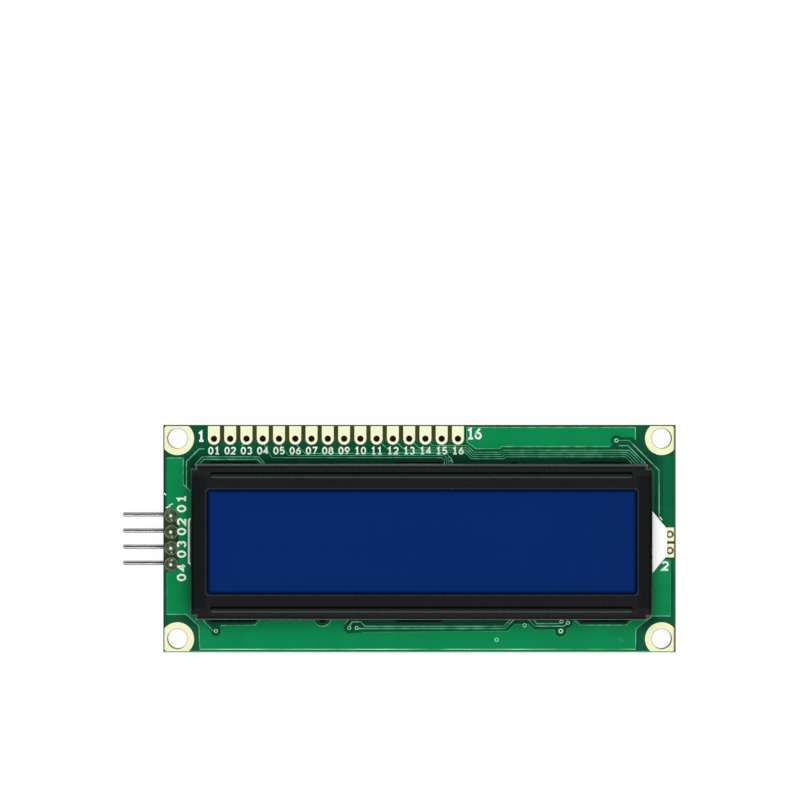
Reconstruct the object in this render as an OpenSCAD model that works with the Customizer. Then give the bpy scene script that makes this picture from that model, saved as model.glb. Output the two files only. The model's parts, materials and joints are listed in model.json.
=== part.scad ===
// Two-row character display module with a serial adapter on its back.
// The back face of the circuit board is at Z = 0, the origin is at the centre of the four fixing holes,
// the display looks along +Z and its top edge, with the row of connector holes, is towards +Y.

/* [Circuit board] */
// Length of the circuit board
board_l = 80; // [77:0.5:110]
// Width of the circuit board
board_w = 35.5; // [33.5:0.5:60]
// Thickness of the circuit board
board_t = 1.6; // [1:0.1:2.4]
// Thickness of the copper on the board and of the plating in its holes
copper_t = 0.05; // [0.03:0.01:0.1]
// Bare strip between the copper and the edge of the board
copper_margin = 0.17; // [0.1:0.01:0.4]

/* [Fixing holes] */
// Bore of a fixing hole
fix_hole_d = 3.1; // [2:0.1:3.4]
// Outer diameter of the tinned ring round a fixing hole
fix_pad_d = 5.2; // [4.2:0.02:5.5]
// Distance of a fixing hole from the end of the board
fix_from_end = 2.2; // [2.1:0.05:4]
// Distance of a fixing hole from the long edge of the board
fix_from_side = 2.1; // [1.9:0.05:3]

/* [Connector row] */
// Number of connector holes
pin_count = 16; // [2:1:16]
// Distance between neighbouring connector holes and between header pins
pin_pitch = 2.54; // [2.2:0.01:3.05]
// Distance of the first connector hole from the left end of the board
first_pin_x = 7.9; // [6.5:0.1:9]
// Distance of the connector row from the top edge of the board
pin_row_y = 2.15; // [1.6:0.05:2.6]
// Bore of a connector hole
pin_hole_d = 1; // [0.8:0.05:1.2]
// Width of a connector pad
pin_pad_w = 1.85; // [1.5:0.05:2]

/* [Bezel] */
// Length of the bezel
bezel_l = 71.2; // [60:0.1:73]
// Width of the bezel
bezel_w = 24; // [20:0.1:26]
// Height of the bezel's face above the board
bezel_h = 7; // [6.4:0.1:10]
// Thickness of the sheet that the bezel is folded from
sheet_t = 0.4; // [0.3:0.02:0.5]
// Outer radius of the fold round the face
fold_r = 0.6; // [0.55:0.01:0.65]
// Distance of the bezel's centre to the right of the board's centre
bezel_x = 0.27; // [-0.5:0.01:0.5]
// Distance of the bezel's centre above the board's centre
bezel_y = -0.26; // [-0.5:0.01:0.5]
// Length of the relief cut at each corner
relief_l = 0.74; // [0.68:0.01:1]
// Width of the relief cut at each corner
relief_w = 0.7; // [0.68:0.01:1]

/* [Window and beads] */
// Width of the face beside the window
face_side = 2.4; // [2:0.1:6]
// Width of the face above and below the window
face_top = 3.875; // [3.6:0.025:5]
// Distance of the window's centre to the right of the bezel's centre
window_x = 0.07; // [-0.2:0.01:0.2]
// Distance of the window's centre above the bezel's centre
window_y = 0.04; // [-0.2:0.01:0.2]
// Radius of the window's corners
window_r = 0.6; // [0.2:0.1:1.5]
// Length by which a bead stops short of the bezel's end
bead_short = 3; // [2:0.1:10]
// Width of a bead at the face
bead_w = 0.95; // [0.8:0.05:1.1]
// Width of a bead at its floor
bead_floor_w = 0.25; // [0.15:0.05:0.3]
// Depth to which a bead is pressed in
bead_depth = 0.3; // [0.25:0.01:0.35]
// Distance of a bead's centre line from the bezel's long edge
bead_inset = 1.64; // [1.5:0.02:1.7]

/* [Bezel tabs] */
// Distance between neighbouring tabs
tab_spacing = 29; // [20:0.5:29]
// Width of a tab
tab_w = 5.6; // [3:0.1:5.8]
// Length of the bent end of a tab on the back of the board
tab_reach = 2.2; // [1.5:0.1:2.6]
// Inner radius of the bend at the back of the board
tab_bend_r = 0.15; // [0.1:0.01:0.18]
// Length of a tab slot
slot_l = 7.9; // [7.3:0.1:9]
// Width of a tab slot
slot_w = 1.4; // [1.3:0.05:1.45]
// Distance of the slots to the right of the bezel's centre
slot_x = -0.45; // [-0.5:0.05:0.5]
// Distance of the slots above the lines that the bezel's walls stand on
slot_y = -0.29; // [-0.3:0.01:0.3]
// Bore of a locating hole
locating_d = 1.5; // [1:0.1:2]
// Distance of a locating hole from the middle slot's centre
locating_x = 14.96; // [10:0.02:20]

/* [Glass cell] */
// Thickness of each glass plate
glass_t = 1.1; // [0.5:0.1:1.3]
// Space between the front glass and the bezel's walls
glass_gap = 0.5; // [0.2:0.05:0.8]
// Width of the contact ledge along each long edge of the front glass
ledge_w = 2.4; // [2.2:0.1:2.6]
// Thickness of each polarizing film
film_t = 0.2; // [0.1:0.05:0.2]
// Width by which the front film reaches under the bezel's face
film_lap = 0.6; // [0.3:0.1:0.8]
// Thickness of the seal between the plates
seal_t = 0.1; // [0.05:0.01:0.15]
// Width of the seal
seal_w = 1; // [0.5:0.1:1.5]
// Width of a rubber contact strip
strip_w = 1.9; // [1.6:0.1:2]
// Length by which a contact strip stops short of the glass at each end
strip_short = 2; // [1:0.5:5]

/* [Backlight] */
// Thickness of the backlight housing's floor
housing_floor = 0.5; // [0.4:0.1:0.8]
// Thickness of the backlight housing's walls
housing_wall = 0.8; // [0.6:0.1:1]
// Space between the housing and what stands beside it
housing_gap = 0.2; // [0.1:0.05:0.4]
// Thickness of the reflector film
reflector_t = 0.1; // [0.05:0.01:0.2]
// Thickness of the diffuser film
diffuser_t = 0.2; // [0.1:0.05:0.3]
// Height of the lamp end that sticks out on the right
lamp_end_h = 2.9; // [2.5:0.1:3.2]
// Width of the lamp end where it leaves the bezel
lamp_end_w = 10.3; // [8:0.1:11]
// Width of the lamp end at its tip
lamp_tip_w = 4.1; // [3.8:0.1:5]
// Distance of the lamp end's tip from the right end of the board
lamp_tip_x = 1.57; // [1.2:0.01:2]
// Distance of the lamp end's centre line below the bezel's centre
lamp_y = 0.16; // [0:0.01:1]
// Length of a backlight pad
lamp_pad_l = 2.7; // [2.2:0.1:3]
// Width of a backlight pad
lamp_pad_w = 2.12; // [1.9:0.01:2.2]
// Distance between the backlight pads' centres
lamp_pad_pitch = 2.54; // [2.4:0.01:2.8]
// Distance of the backlight pads below the lamp end's centre line
lamp_pad_y = 0.17; // [0:0.01:0.25]
// Distance of the backlight holes from the right end of the board
lamp_hole_x = 0.91; // [0.8:0.01:1]

/* [Side header] */
// Number of header pins
header_count = 4; // [2:1:6]
// Distance of the header's legs from the left end of the board
header_x = 1.23; // [1.2:0.01:1.4]
// Distance of the header's centre above the board's centre
header_y = -0.2; // [-2:0.1:2]
// Side of a square header pin
header_pin = 0.64; // [0.5:0.01:0.7]
// Width and height of the header's moulded block
block_w = 2.54; // [2.2:0.01:2.6]
// Length of a header pin beyond its leg's centre line
pin_reach = 7.93; // [5:0.01:12]
// Height of a header leg above the board
leg_rise = 1.15; // [1:0.05:1.5]
// Bore of a header hole
header_hole_d = 1; // [1:0.05:1.2]
// Diameter of a header pad
header_pad_d = 2.18; // [1.8:0.02:2.2]

/* [Parts on the back] */
// Diameter of a resin blob
blob_d = 12.5; // [9:0.1:14]
// Height of a resin blob
blob_h = 1.6; // [1:0.1:2]
// Length of the expander chip's body
chip_l = 10.3; // [10:0.1:11]
// Width of the expander chip's body
chip_w = 7.5; // [7:0.1:8]
// Height of the expander chip's body
chip_h = 2.3; // [2:0.1:2.5]
// Width of the bevel along the expander chip's first row of leads
chip_bevel = 0.35; // [0.2:0.05:0.6]
// Side of the trimmer's square base
trimmer_w = 4.5; // [4.5:0.1:5.5]
// Height of the trimmer's base
trimmer_h = 2.4; // [2.2:0.1:2.6]
// Diameter of the trimmer rotor's head
rotor_d = 2.6; // [2:0.1:2.8]
// Radial clearance of the trimmer's rotor in its base
rotor_play = 0.05; // [0.02:0.01:0.08]

/* [Hidden] */
$fn = 48;

// Places on the board
fix_x = board_l / 2 - fix_from_end;
fix_y = board_w / 2 - fix_from_side;
pin_1_x = first_pin_x - board_l / 2;
pin_y = board_w / 2 - pin_row_y;
leg_x = header_x - board_l / 2;
lamp_hole = board_l / 2 - lamp_hole_x;
lamp_tip = board_l / 2 - lamp_tip_x;
lamp_mid_y = bezel_y - lamp_y;

// Levels from the bezel's face down to the board
face_z = board_t + bezel_h;
face_under_z = face_z - sheet_t;
glass_top_z = face_under_z - bead_depth;
glass_under_z = glass_top_z - glass_t;
cell_under_z = glass_under_z - seal_t - glass_t;
housing_top_z = cell_under_z - film_t;
guide_under_z = board_t + housing_floor + reflector_t;
film_space = 0.1;
guide_top_z = housing_top_z - diffuser_t - film_space;

// Sizes that follow from the bezel
window_l = bezel_l - 2 * face_side;
window_w = bezel_w - 2 * face_top;
glass_l = bezel_l - 2 * sheet_t - 2 * glass_gap;
glass_w = bezel_w - 2 * sheet_t - 2 * glass_gap;
cell_w = glass_w - 2 * ledge_w;
strip_y = (glass_w - ledge_w) / 2;
wall_y = (bezel_w - sheet_t) / 2;

// Sizes of the backlight
housing_l = glass_l - 2 * housing_gap;
housing_w = 2 * strip_y - strip_w - 2 * housing_gap;
tray_l = housing_l - 2 * housing_wall;
tray_w = housing_w - 2 * housing_wall;
housing_end_x = bezel_x + housing_l / 2;
bezel_end_x = bezel_x + bezel_l / 2;
lamp_base_l = 1.2;
lamp_lens_r = 0.8;
lamp_h = 1.8;
lamp_room = 0.1;
lamp_back_x = lamp_tip - 1.2;
lamp_z = board_t + housing_floor + reflector_t + lamp_h / 2;
lamp_lead_w = 0.5;
lamp_lead_t = 0.2;
lamp_wall = 0.3;
lamp_w = lamp_pad_pitch + 2 * lamp_pad_y + lamp_lead_w;

// Places and sizes of the parts on the back
driver_blob_x = 25;
controller_blob_x = 6.5;
blob_y = bezel_y;
chip_x = -17;
chip_y = 1;
chip_rise = 0.15;
chip_lead_pitch = 1.27;
chip_lead_rows = 8;
chip_lead_w = 0.42;
chip_lead_t = 0.25;
chip_span = chip_w + 2.8;
trimmer_x = -30;
trimmer_y = 3.8;
trimmer_lip = 0.5;
flange_d = rotor_d + 0.7;
flange_h = 1;
chamber_floor = trimmer_h - trimmer_lip - flange_h - 2 * rotor_play;
transistor_x = -30;
transistor_y = -3.4;
transistor_l = 2.9;
transistor_w = 1.3;
transistor_h = 1;
small_part_l = 2;
small_part_w = 1.25;
resistor_h = 0.55;
capacitor_h = 0.9;
end_cap_l = 0.4;
tab_end_y = bezel_y - bezel_w / 2 + tab_reach;
low_row_y = tab_end_y + 1.86;
resistor_places = [
    [-25.5, low_row_y], [-25.5, low_row_y + 2], [-30.2, low_row_y],
    [-9.2, 4.2], [-9.2, 6.2]
];
capacitor_places = [[-19.5, low_row_y + 0.2], [-9.2, -4.6], [15.8, 7.8]];
cut = 1;

// Outline of a rectangle with round corners
module rounded_rect(l, w, r) {
    square([l - 2 * r, w], center = true);
    square([l, w - 2 * r], center = true);
    for (sx = [-1, 1], sy = [-1, 1]) {
        translate([sx * (l / 2 - r), sy * (w / 2 - r)])
            circle(r);
    }
}

// Outline of a routed slot with round ends
module slot_outline(l, w) {
    square([l - w, w], center = true);
    for (side = [-1, 1]) {
        translate([side * (l - w) / 2, 0])
            circle(d = w);
    }
}

// Children placed on both rows of tab slots, with their local +Y towards the middle of the bezel
module at_tabs() {
    for (turn = [0, 180], step = [-1, 0, 1]) {
        translate([bezel_x + slot_x + step * tab_spacing, bezel_y, 0])
            rotate([0, 0, turn])
                translate([0, -wall_y, 0])
                    children();
    }
}

// Children placed at the two locating holes, one in each row of slots
module at_locating_holes() {
    for (turn = [0, 180]) {
        translate([bezel_x + slot_x, bezel_y + slot_y, -cut])
            rotate([0, 0, turn])
                translate([-locating_x, -wall_y, 0])
                    children();
    }
}

// Children placed at each fixing hole, counted by the signs of its place
module at_fixings() {
    for (sx = [-1, 1], sy = [-1, 1]) {
        translate([sx * fix_x, sy * fix_y, 0])
            children();
    }
}

// Children placed at each connector hole
module at_pins() {
    for (i = [0 : pin_count - 1]) {
        translate([pin_1_x + i * pin_pitch, pin_y, 0])
            children();
    }
}

// Children placed at each leg of the side header
module at_legs() {
    for (i = [0 : header_count - 1]) {
        translate([leg_x, header_y + (i - (header_count - 1) / 2) * pin_pitch, 0])
            children();
    }
}

// Children placed at each backlight hole
module at_lamp_holes() {
    for (side = [-1, 1]) {
        translate([lamp_hole, lamp_mid_y - lamp_pad_y + side * lamp_pad_pitch / 2, 0])
            children();
    }
}

// Children placed on the back of the board, with their local +Z away from it
module on_back(x, y, turn = 0) {
    translate([x, y, 0])
        rotate([180, 0, turn])
            children();
}

// Hole through the board, wide enough for its plating
module drill(d) {
    translate([0, 0, -cut])
        cylinder(d = d + 2 * copper_t, h = board_t + 2 * cut);
}

// Pad outline on both faces of the board, joined by a plated hole
module plated(hole_d) {
    difference() {
        union() {
            translate([0, 0, board_t])
                linear_extrude(copper_t)
                    children();
            translate([0, 0, -copper_t])
                linear_extrude(copper_t)
                    children();
            cylinder(d = hole_d + 2 * copper_t, h = board_t);
        }
        translate([0, 0, -cut])
            cylinder(d = hole_d, h = board_t + 2 * cut);
    }
}

module circuit_board() {
    color("seagreen")
    difference() {
        translate([-board_l / 2, -board_w / 2, 0])
            cube([board_l, board_w, board_t]);
        at_fixings()
            drill(fix_hole_d);
        at_pins()
            drill(pin_hole_d);
        at_legs()
            drill(header_hole_d);
        at_lamp_holes()
            drill(header_hole_d);
        translate([0, slot_y, -cut])
            at_tabs()
                linear_extrude(board_t + 2 * cut)
                    slot_outline(slot_l, slot_w);
        at_locating_holes()
            cylinder(d = locating_d, h = board_t + 2 * cut);
    }
}

// Pad that runs from its hole to the top edge of the board
module pin_pads() {
    color("wheat")
    at_pins()
        plated(pin_hole_d) {
            circle(d = pin_pad_w);
            translate([-pin_pad_w / 2, 0])
                square([pin_pad_w, pin_row_y - copper_margin]);
        }
}

// Rings round the fixing holes, cut flat by the bare strip along the board's edges
module mounting_pads() {
    color("wheat")
    for (sx = [-1, 1], sy = [-1, 1]) {
        translate([sx * fix_x, sy * fix_y, 0])
            plated(fix_hole_d)
                intersection() {
                    circle(d = fix_pad_d);
                    translate([-sx * fix_x, -sy * fix_y])
                        square([board_l - 2 * copper_margin, board_w - 2 * copper_margin], center = true);
                }
    }
}

module header_pads() {
    color("wheat")
    at_legs()
        plated(header_hole_d)
            circle(d = header_pad_d);
}

module backlight_pads() {
    color("wheat")
    at_lamp_holes()
        plated(header_hole_d)
            translate([lamp_hole_x - copper_margin - lamp_pad_l, -lamp_pad_w / 2])
                square([lamp_pad_l, lamp_pad_w]);
}

// Outline of a block whose upper corner at its left side is round
module one_round_corner(reach, h, r) {
    square([reach, h - r]);
    translate([r, 0])
        square([reach - r, h]);
    translate([r, h - r])
        circle(r);
}

// Section of a sheet folded through a right angle: its outer face stands at x = 0 and it reaches along +X
module fold_section(reach, h, r) {
    difference() {
        one_round_corner(reach, h, r);
        translate([sheet_t, -cut])
            one_round_corner(reach + cut, h - sheet_t + cut, r - sheet_t);
    }
}

// Folded strip along X, with its wall at y = 0 and its sheet reaching along +Y
module folded_strip(l, reach, h, r) {
    translate([-l / 2, 0, 0])
        rotate([90, 0, 90])
            linear_extrude(l)
                fold_section(reach, h, r);
}

// Raised or sunk bead along X: a bar with sloping sides and cone ends, narrow side down
module bead_bar(l, wide, narrow, h) {
    translate([-l / 2, 0, 0])
        rotate([90, 0, 90])
            linear_extrude(l)
                polygon([[-narrow / 2, 0], [narrow / 2, 0], [wide / 2, h], [-wide / 2, h]]);
    for (side = [-1, 1]) {
        translate([side * l / 2, 0, 0])
            cylinder(d1 = narrow, d2 = wide, h = h);
    }
}

// Centre lines of the two pressed beads
module at_beads() {
    for (side = [-1, 1]) {
        translate([0, side * (bezel_w / 2 - bead_inset), 0])
            children();
    }
}

// One folded sheet: face, four walls, two pressed beads, window, corner reliefs and six bent tabs
module bezel() {
    bead_l = bezel_l - 2 * bead_short - bead_w;
    bead_back = sheet_t * 0.83;
    color("dimgray")
    union() {
        translate([bezel_x, bezel_y, 0])
            difference() {
                union() {
                    translate([0, 0, face_under_z])
                        linear_extrude(sheet_t)
                            square([bezel_l - 2 * fold_r, bezel_w - 2 * fold_r], center = true);
                    for (turn = [0, 180]) {
                        rotate([0, 0, turn])
                            translate([0, -bezel_w / 2, board_t])
                                folded_strip(bezel_l - 2 * relief_l, 2 * fold_r, bezel_h, fold_r);
                        rotate([0, 0, turn + 90])
                            translate([0, -bezel_l / 2, board_t])
                                folded_strip(bezel_w - 2 * relief_w, 2 * fold_r, bezel_h, fold_r);
                    }
                    at_beads()
                        translate([0, 0, face_under_z - bead_depth])
                            bead_bar(bead_l, bead_w + bead_back, bead_floor_w + bead_back, bead_depth);
                }
                at_beads()
                    translate([0, 0, face_z - bead_depth])
                        bead_bar(bead_l, bead_w, bead_floor_w, bead_depth);
                translate([window_x, window_y, face_under_z - cut])
                    linear_extrude(sheet_t + 2 * cut)
                        rounded_rect(window_l, window_w, window_r);
                for (sx = [-1, 1], sy = [-1, 1]) {
                    translate([sx * bezel_l / 2, sy * bezel_w / 2, face_z - bezel_h / 2])
                        cube([2 * relief_l, 2 * relief_w, bezel_h + 2 * cut], center = true);
                }
                translate([bezel_l / 2 - sheet_t - cut, -lamp_y - lamp_end_w / 2 - housing_gap, board_t - cut])
                    cube([sheet_t + 2 * cut, lamp_end_w + 2 * housing_gap, lamp_end_h + housing_gap + cut]);
            }
        at_tabs()
            translate([0, -sheet_t / 2, board_t])
                mirror([0, 0, 1])
                    folded_strip(tab_w, tab_reach, board_t + sheet_t, tab_bend_r + sheet_t);
    }
}

// Flat plate centred on the bezel, from one level up
module plate(l, w, z, t) {
    translate([bezel_x - l / 2, bezel_y - w / 2, z])
        cube([l, w, t]);
}

module front_polarizer() {
    color("midnightblue")
    translate([window_x, window_y, 0])
        plate(window_l + 2 * film_lap, window_w + 2 * film_lap, glass_top_z, film_t);
}

module front_glass() {
    color("lightsteelblue")
    plate(glass_l, glass_w, glass_under_z, glass_t);
}

module glass_seal() {
    color("dimgray")
    difference() {
        plate(glass_l, cell_w, glass_under_z - seal_t, seal_t);
        plate(glass_l - 2 * seal_w, cell_w - 2 * seal_w, glass_under_z - seal_t - cut, seal_t + 2 * cut);
    }
}

module rear_glass() {
    color("lightsteelblue")
    plate(glass_l, cell_w, cell_under_z, glass_t);
}

module rear_polarizer() {
    color("slategray")
    translate([window_x, window_y, 0])
        plate(window_l + 2 * film_lap, cell_w - 2 * film_t, housing_top_z, film_t);
}

// Rubber strip that joins the contacts on the glass ledge to those on the board
module zebra_strip(side) {
    color("gray")
    translate([0, side * strip_y, 0])
        plate(glass_l - 2 * strip_short, strip_w, board_t, glass_under_z - board_t);
}

module upper_zebra_strip() {
    zebra_strip(1);
}

module lower_zebra_strip() {
    zebra_strip(-1);
}

module diffuser_film() {
    color("whitesmoke")
    plate(tray_l - 2 * housing_gap, tray_w - 2 * housing_gap, guide_top_z, diffuser_t);
}

module light_guide() {
    color("aliceblue")
    plate(tray_l - 2 * housing_gap, tray_w - 2 * housing_gap, guide_under_z, guide_top_z - guide_under_z);
}

module reflector_film() {
    color("silver")
    plate(tray_l - 2 * housing_gap, tray_w - 2 * housing_gap, board_t + housing_floor, reflector_t);
}

// Tray for the light guide, with the lamp end on its right
module backlight_housing() {
    tip_in = lamp_back_x + lamp_room;
    color("white")
    difference() {
        union() {
            plate(housing_l, housing_w, board_t, housing_top_z - board_t);
            translate([0, lamp_mid_y, board_t + copper_t])
                linear_extrude(lamp_end_h - copper_t)
                    polygon([
                        [housing_end_x - housing_wall, -lamp_end_w / 2],
                        [bezel_end_x, -lamp_end_w / 2],
                        [lamp_tip, -lamp_tip_w / 2],
                        [lamp_tip, lamp_tip_w / 2],
                        [bezel_end_x, lamp_end_w / 2],
                        [housing_end_x - housing_wall, lamp_end_w / 2]
                    ]);
        }
        plate(tray_l, tray_w, board_t + housing_floor, bezel_h);
        translate([housing_end_x - housing_wall - cut, lamp_mid_y - lamp_w / 2 - lamp_room, board_t + housing_floor])
            cube([tip_in - housing_end_x + housing_wall + cut, lamp_w + 2 * lamp_room,
                lamp_end_h - housing_floor - lamp_wall]);
        translate([lamp_back_x - lamp_room, lamp_mid_y - lamp_w / 2 - lamp_room, board_t - cut])
            cube([lamp_tip - lamp_wall - lamp_back_x + lamp_room, lamp_w + 2 * lamp_room,
                lamp_end_h - lamp_wall + cut]);
    }
}

// Side-looking lamp: a block with a domed lens towards the light guide
module backlight_led() {
    color("khaki")
    translate([lamp_back_x - lamp_base_l, lamp_mid_y, lamp_z]) {
        translate([0, -lamp_w / 2, -lamp_h / 2])
            cube([lamp_base_l, lamp_w, lamp_h]);
        intersection() {
            sphere(lamp_lens_r);
            translate([-2 * lamp_lens_r, -lamp_lens_r, -lamp_lens_r])
                cube([2 * lamp_lens_r, 2 * lamp_lens_r, 2 * lamp_lens_r]);
        }
    }
}

// Flat leads that leave the lamp's back, turn down and lie on the pads under the lamp end
module backlight_leads() {
    drop_x = lamp_back_x + lamp_room;
    foot_z = board_t + copper_t;
    foot_end = lamp_tip - lamp_wall - lamp_room;
    color("silver")
    for (side = [-1, 1]) {
        translate([0, lamp_mid_y - lamp_pad_y + side * lamp_pad_pitch / 2 - lamp_lead_w / 2, 0]) {
            translate([lamp_back_x, 0, lamp_z])
                cube([lamp_room + lamp_lead_t, lamp_lead_w, lamp_lead_t]);
            translate([drop_x, 0, foot_z])
                cube([lamp_lead_t, lamp_lead_w, lamp_z - foot_z + lamp_lead_t]);
            translate([drop_x, 0, foot_z])
                cube([foot_end - drop_x, lamp_lead_w, lamp_lead_t]);
        }
    }
}

// Solder that fills a backlight hole, with a small dome in the middle of the pad
module backlight_solder() {
    dome_h = 0.12;
    dome_d = header_hole_d - 0.22;
    color("gainsboro")
    at_lamp_holes() {
        cylinder(d = header_hole_d, h = board_t - copper_t);
        cylinder(d = dome_d, h = board_t);
        translate([0, 0, board_t])
            cylinder(d1 = dome_d, d2 = dome_d / 2, h = dome_h);
    }
}

// Moulded block round the header's legs, necked in between them
module header_block() {
    block_l = header_count * pin_pitch;
    neck = 0.36;
    leg_room = header_pin + 0.02;
    color("dimgray")
    translate([0, 0, -block_w])
        difference() {
            translate([leg_x - block_w / 2, header_y - block_l / 2, 0])
                cube([block_w, block_l, block_w - copper_t]);
            for (i = [0 : header_count], side = [-1, 1]) {
                translate([leg_x + side * block_w / 2, header_y - block_l / 2 + i * pin_pitch, -cut])
                    rotate([0, 0, 45])
                        translate([-neck, -neck, 0])
                            cube([2 * neck, 2 * neck, block_w + 2 * cut]);
            }
            at_legs()
                translate([-leg_room / 2, -leg_room / 2, -cut])
                    cube([leg_room, leg_room, block_w + 2 * cut]);
        }
}

// Square bar along +Z whose far end is chamfered on its four sides
module pin_bar(l) {
    tip = header_pin * 0.35;
    half = header_pin / 2;
    section = [[-half, 0], [half, 0], [half, l - tip], [half - tip / 2, l], [tip / 2 - half, l], [-half, l - tip]];
    intersection() {
        translate([0, half, 0])
            rotate([90, 0, 0])
                linear_extrude(header_pin)
                    polygon(section);
        translate([-half, 0, 0])
            rotate([90, 0, 90])
                linear_extrude(header_pin)
                    polygon(section);
    }
}

// Square pins with one leg through the board, bent under the block to run out past the board's end
module header_pins() {
    bend_r = 0.75;
    run_z = -block_w - 0.32 - header_pin / 2;
    color("silver")
    at_legs() {
        translate([0, 0, run_z + bend_r])
            pin_bar(board_t + leg_rise - run_z - bend_r);
        translate([-bend_r, 0, run_z])
            rotate([0, -90, 0])
                pin_bar(pin_reach - bend_r);
        translate([-bend_r, 0, run_z + bend_r])
            rotate([90, 0, 0])
                rotate_extrude(angle = -90)
                    translate([bend_r, 0])
                        square(header_pin, center = true);
    }
}

// Solder fillet round each leg on the front of the board
module header_solder() {
    fillet_h = 0.85;
    base_r = header_pad_d / 2 - 0.03;
    hollow = [base_r + 0.62, fillet_h + 0.15];
    hollow_r = sqrt(pow(hollow[0] - base_r, 2) + pow(hollow[1], 2));
    color("gray")
    at_legs()
        translate([0, 0, board_t + copper_t])
            difference() {
                rotate_extrude()
                    difference() {
                        square([base_r, fillet_h]);
                        translate(hollow)
                            circle(hollow_r);
                    }
                translate([-header_pin / 2, -header_pin / 2, -cut])
                    cube([header_pin, header_pin, fillet_h + 2 * cut]);
            }
}

// Low dome of resin over a bare chip
module resin_blob(x) {
    ball_r = (pow(blob_d / 2, 2) + pow(blob_h, 2)) / (2 * blob_h);
    color("black")
    on_back(x, blob_y)
        intersection() {
            translate([0, 0, blob_h - ball_r])
                sphere(ball_r, $fn = 96);
            cylinder(d = blob_d + 2 * cut, h = blob_h + cut);
        }
}

module display_controller_blob() {
    resin_blob(controller_blob_x);
}

module segment_driver_blob() {
    resin_blob(driver_blob_x);
}

// Moulded body with sloping sides: wide at the parting line, narrower at top and bottom
module moulded_body(l, w, h, slope) {
    section_w = [
        [-w / 2 + slope, 0], [w / 2 - slope, 0], [w / 2, h / 2],
        [w / 2 - slope, h], [-w / 2 + slope, h], [-w / 2, h / 2]
    ];
    section_l = [
        [-l / 2 + slope, 0], [l / 2 - slope, 0], [l / 2, h / 2],
        [l / 2 - slope, h], [-l / 2 + slope, h], [-l / 2, h / 2]
    ];
    intersection() {
        translate([0, l / 2, 0])
            rotate([90, 0, 0])
                linear_extrude(l)
                    polygon(section_w);
        translate([-w / 2, 0, 0])
            rotate([90, 0, 90])
                linear_extrude(w)
                    polygon(section_l);
    }
}

// Section of a gull-wing lead: out of the body, down the slope and along the board
module gull_wing(root_x, root_z, tip_x, t) {
    knee_x = root_x + (tip_x - root_x) * 0.35;
    ankle_x = root_x + (tip_x - root_x) * 0.5;
    polygon([
        [root_x, root_z], [knee_x, root_z], [ankle_x, 0], [tip_x, 0],
        [tip_x, t], [ankle_x + t * 0.7, t], [knee_x + t * 0.7, root_z + t], [root_x, root_z + t]
    ]);
}

// Body with a bevel along its first row of leads and a round mould mark beside lead 1
module expander_chip() {
    slope = 0.18;
    mark_r = 0.5;
    mark_depth = 0.08;
    mark_inset = 1.5;
    color("dimgray")
    on_back(chip_x, chip_y)
        translate([0, 0, chip_rise])
            difference() {
                moulded_body(chip_l, chip_w, chip_h, slope);
                translate([chip_w / 2 - mark_inset, chip_l / 2 - mark_inset, chip_h - mark_depth])
                    cylinder(r = mark_r, h = cut);
                translate([chip_w / 2 - slope - chip_bevel, -chip_l / 2 - cut, chip_h])
                    rotate([0, 45, 0])
                        cube([chip_h, chip_l + 2 * cut, chip_h]);
            }
}

module expander_leads() {
    root_z = chip_rise + (chip_h - chip_lead_t) / 2;
    color("silver")
    on_back(chip_x, chip_y)
        for (turn = [0, 180], i = [0 : chip_lead_rows - 1]) {
            rotate([0, 0, turn])
                translate([0, (i - (chip_lead_rows - 1) / 2) * chip_lead_pitch + chip_lead_w / 2, 0])
                    rotate([90, 0, 0])
                        linear_extrude(chip_lead_w)
                            gull_wing(chip_w / 2, root_z, chip_span / 2, chip_lead_t);
        }
}

module trimmer_base() {
    corner = 0.5;
    color("royalblue")
    on_back(trimmer_x, trimmer_y)
        difference() {
            translate([-trimmer_w / 2, -trimmer_w / 2, 0])
                cube([trimmer_w, trimmer_w, trimmer_h]);
            translate([trimmer_w / 2, trimmer_w / 2, -cut])
                rotate([0, 0, 45])
                    translate([-corner, -corner, 0])
                        cube([2 * corner, 2 * corner, trimmer_h + 2 * cut]);
            translate([0, 0, chamber_floor])
                cylinder(d = flange_d + 2 * rotor_play, h = flange_h + 2 * rotor_play);
            translate([0, 0, chamber_floor])
                cylinder(d = rotor_d + 2 * rotor_play, h = trimmer_h);
        }
}

// Rotor with a cross slot in its head
module trimmer_rotor() {
    slot_depth = 0.6;
    slot_width = 0.45;
    color("white")
    on_back(trimmer_x, trimmer_y)
        difference() {
            union() {
                translate([0, 0, chamber_floor + rotor_play])
                    cylinder(d = flange_d, h = flange_h);
                translate([0, 0, chamber_floor + rotor_play])
                    cylinder(d = rotor_d, h = trimmer_h - chamber_floor);
            }
            for (turn = [0, 90]) {
                rotate([0, 0, turn])
                    translate([-rotor_d * 0.38, -slot_width / 2, trimmer_h + rotor_play - slot_depth])
                        cube([rotor_d * 0.76, slot_width, slot_depth + cut]);
            }
        }
}

// Three clips that come out of the base's sides and turn under it
module trimmer_terminals() {
    clip_w = 1;
    clip_t = 0.2;
    clip_h = 1;
    clip_foot = 0.8;
    color("silver")
    on_back(trimmer_x, trimmer_y)
        for (place = [[0, 0], [180, -1.2], [180, 1.2]]) {
            rotate([0, 0, place[0]])
                translate([place[1] - clip_w / 2, trimmer_w / 2, 0]) {
                    cube([clip_w, clip_t, clip_h]);
                    cube([clip_w, clip_foot, clip_t]);
                }
        }
}

module driver_transistor() {
    color("dimgray")
    on_back(transistor_x, transistor_y)
        translate([0, 0, chip_rise])
            moulded_body(transistor_l, transistor_w, transistor_h, 0.1);
}

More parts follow.
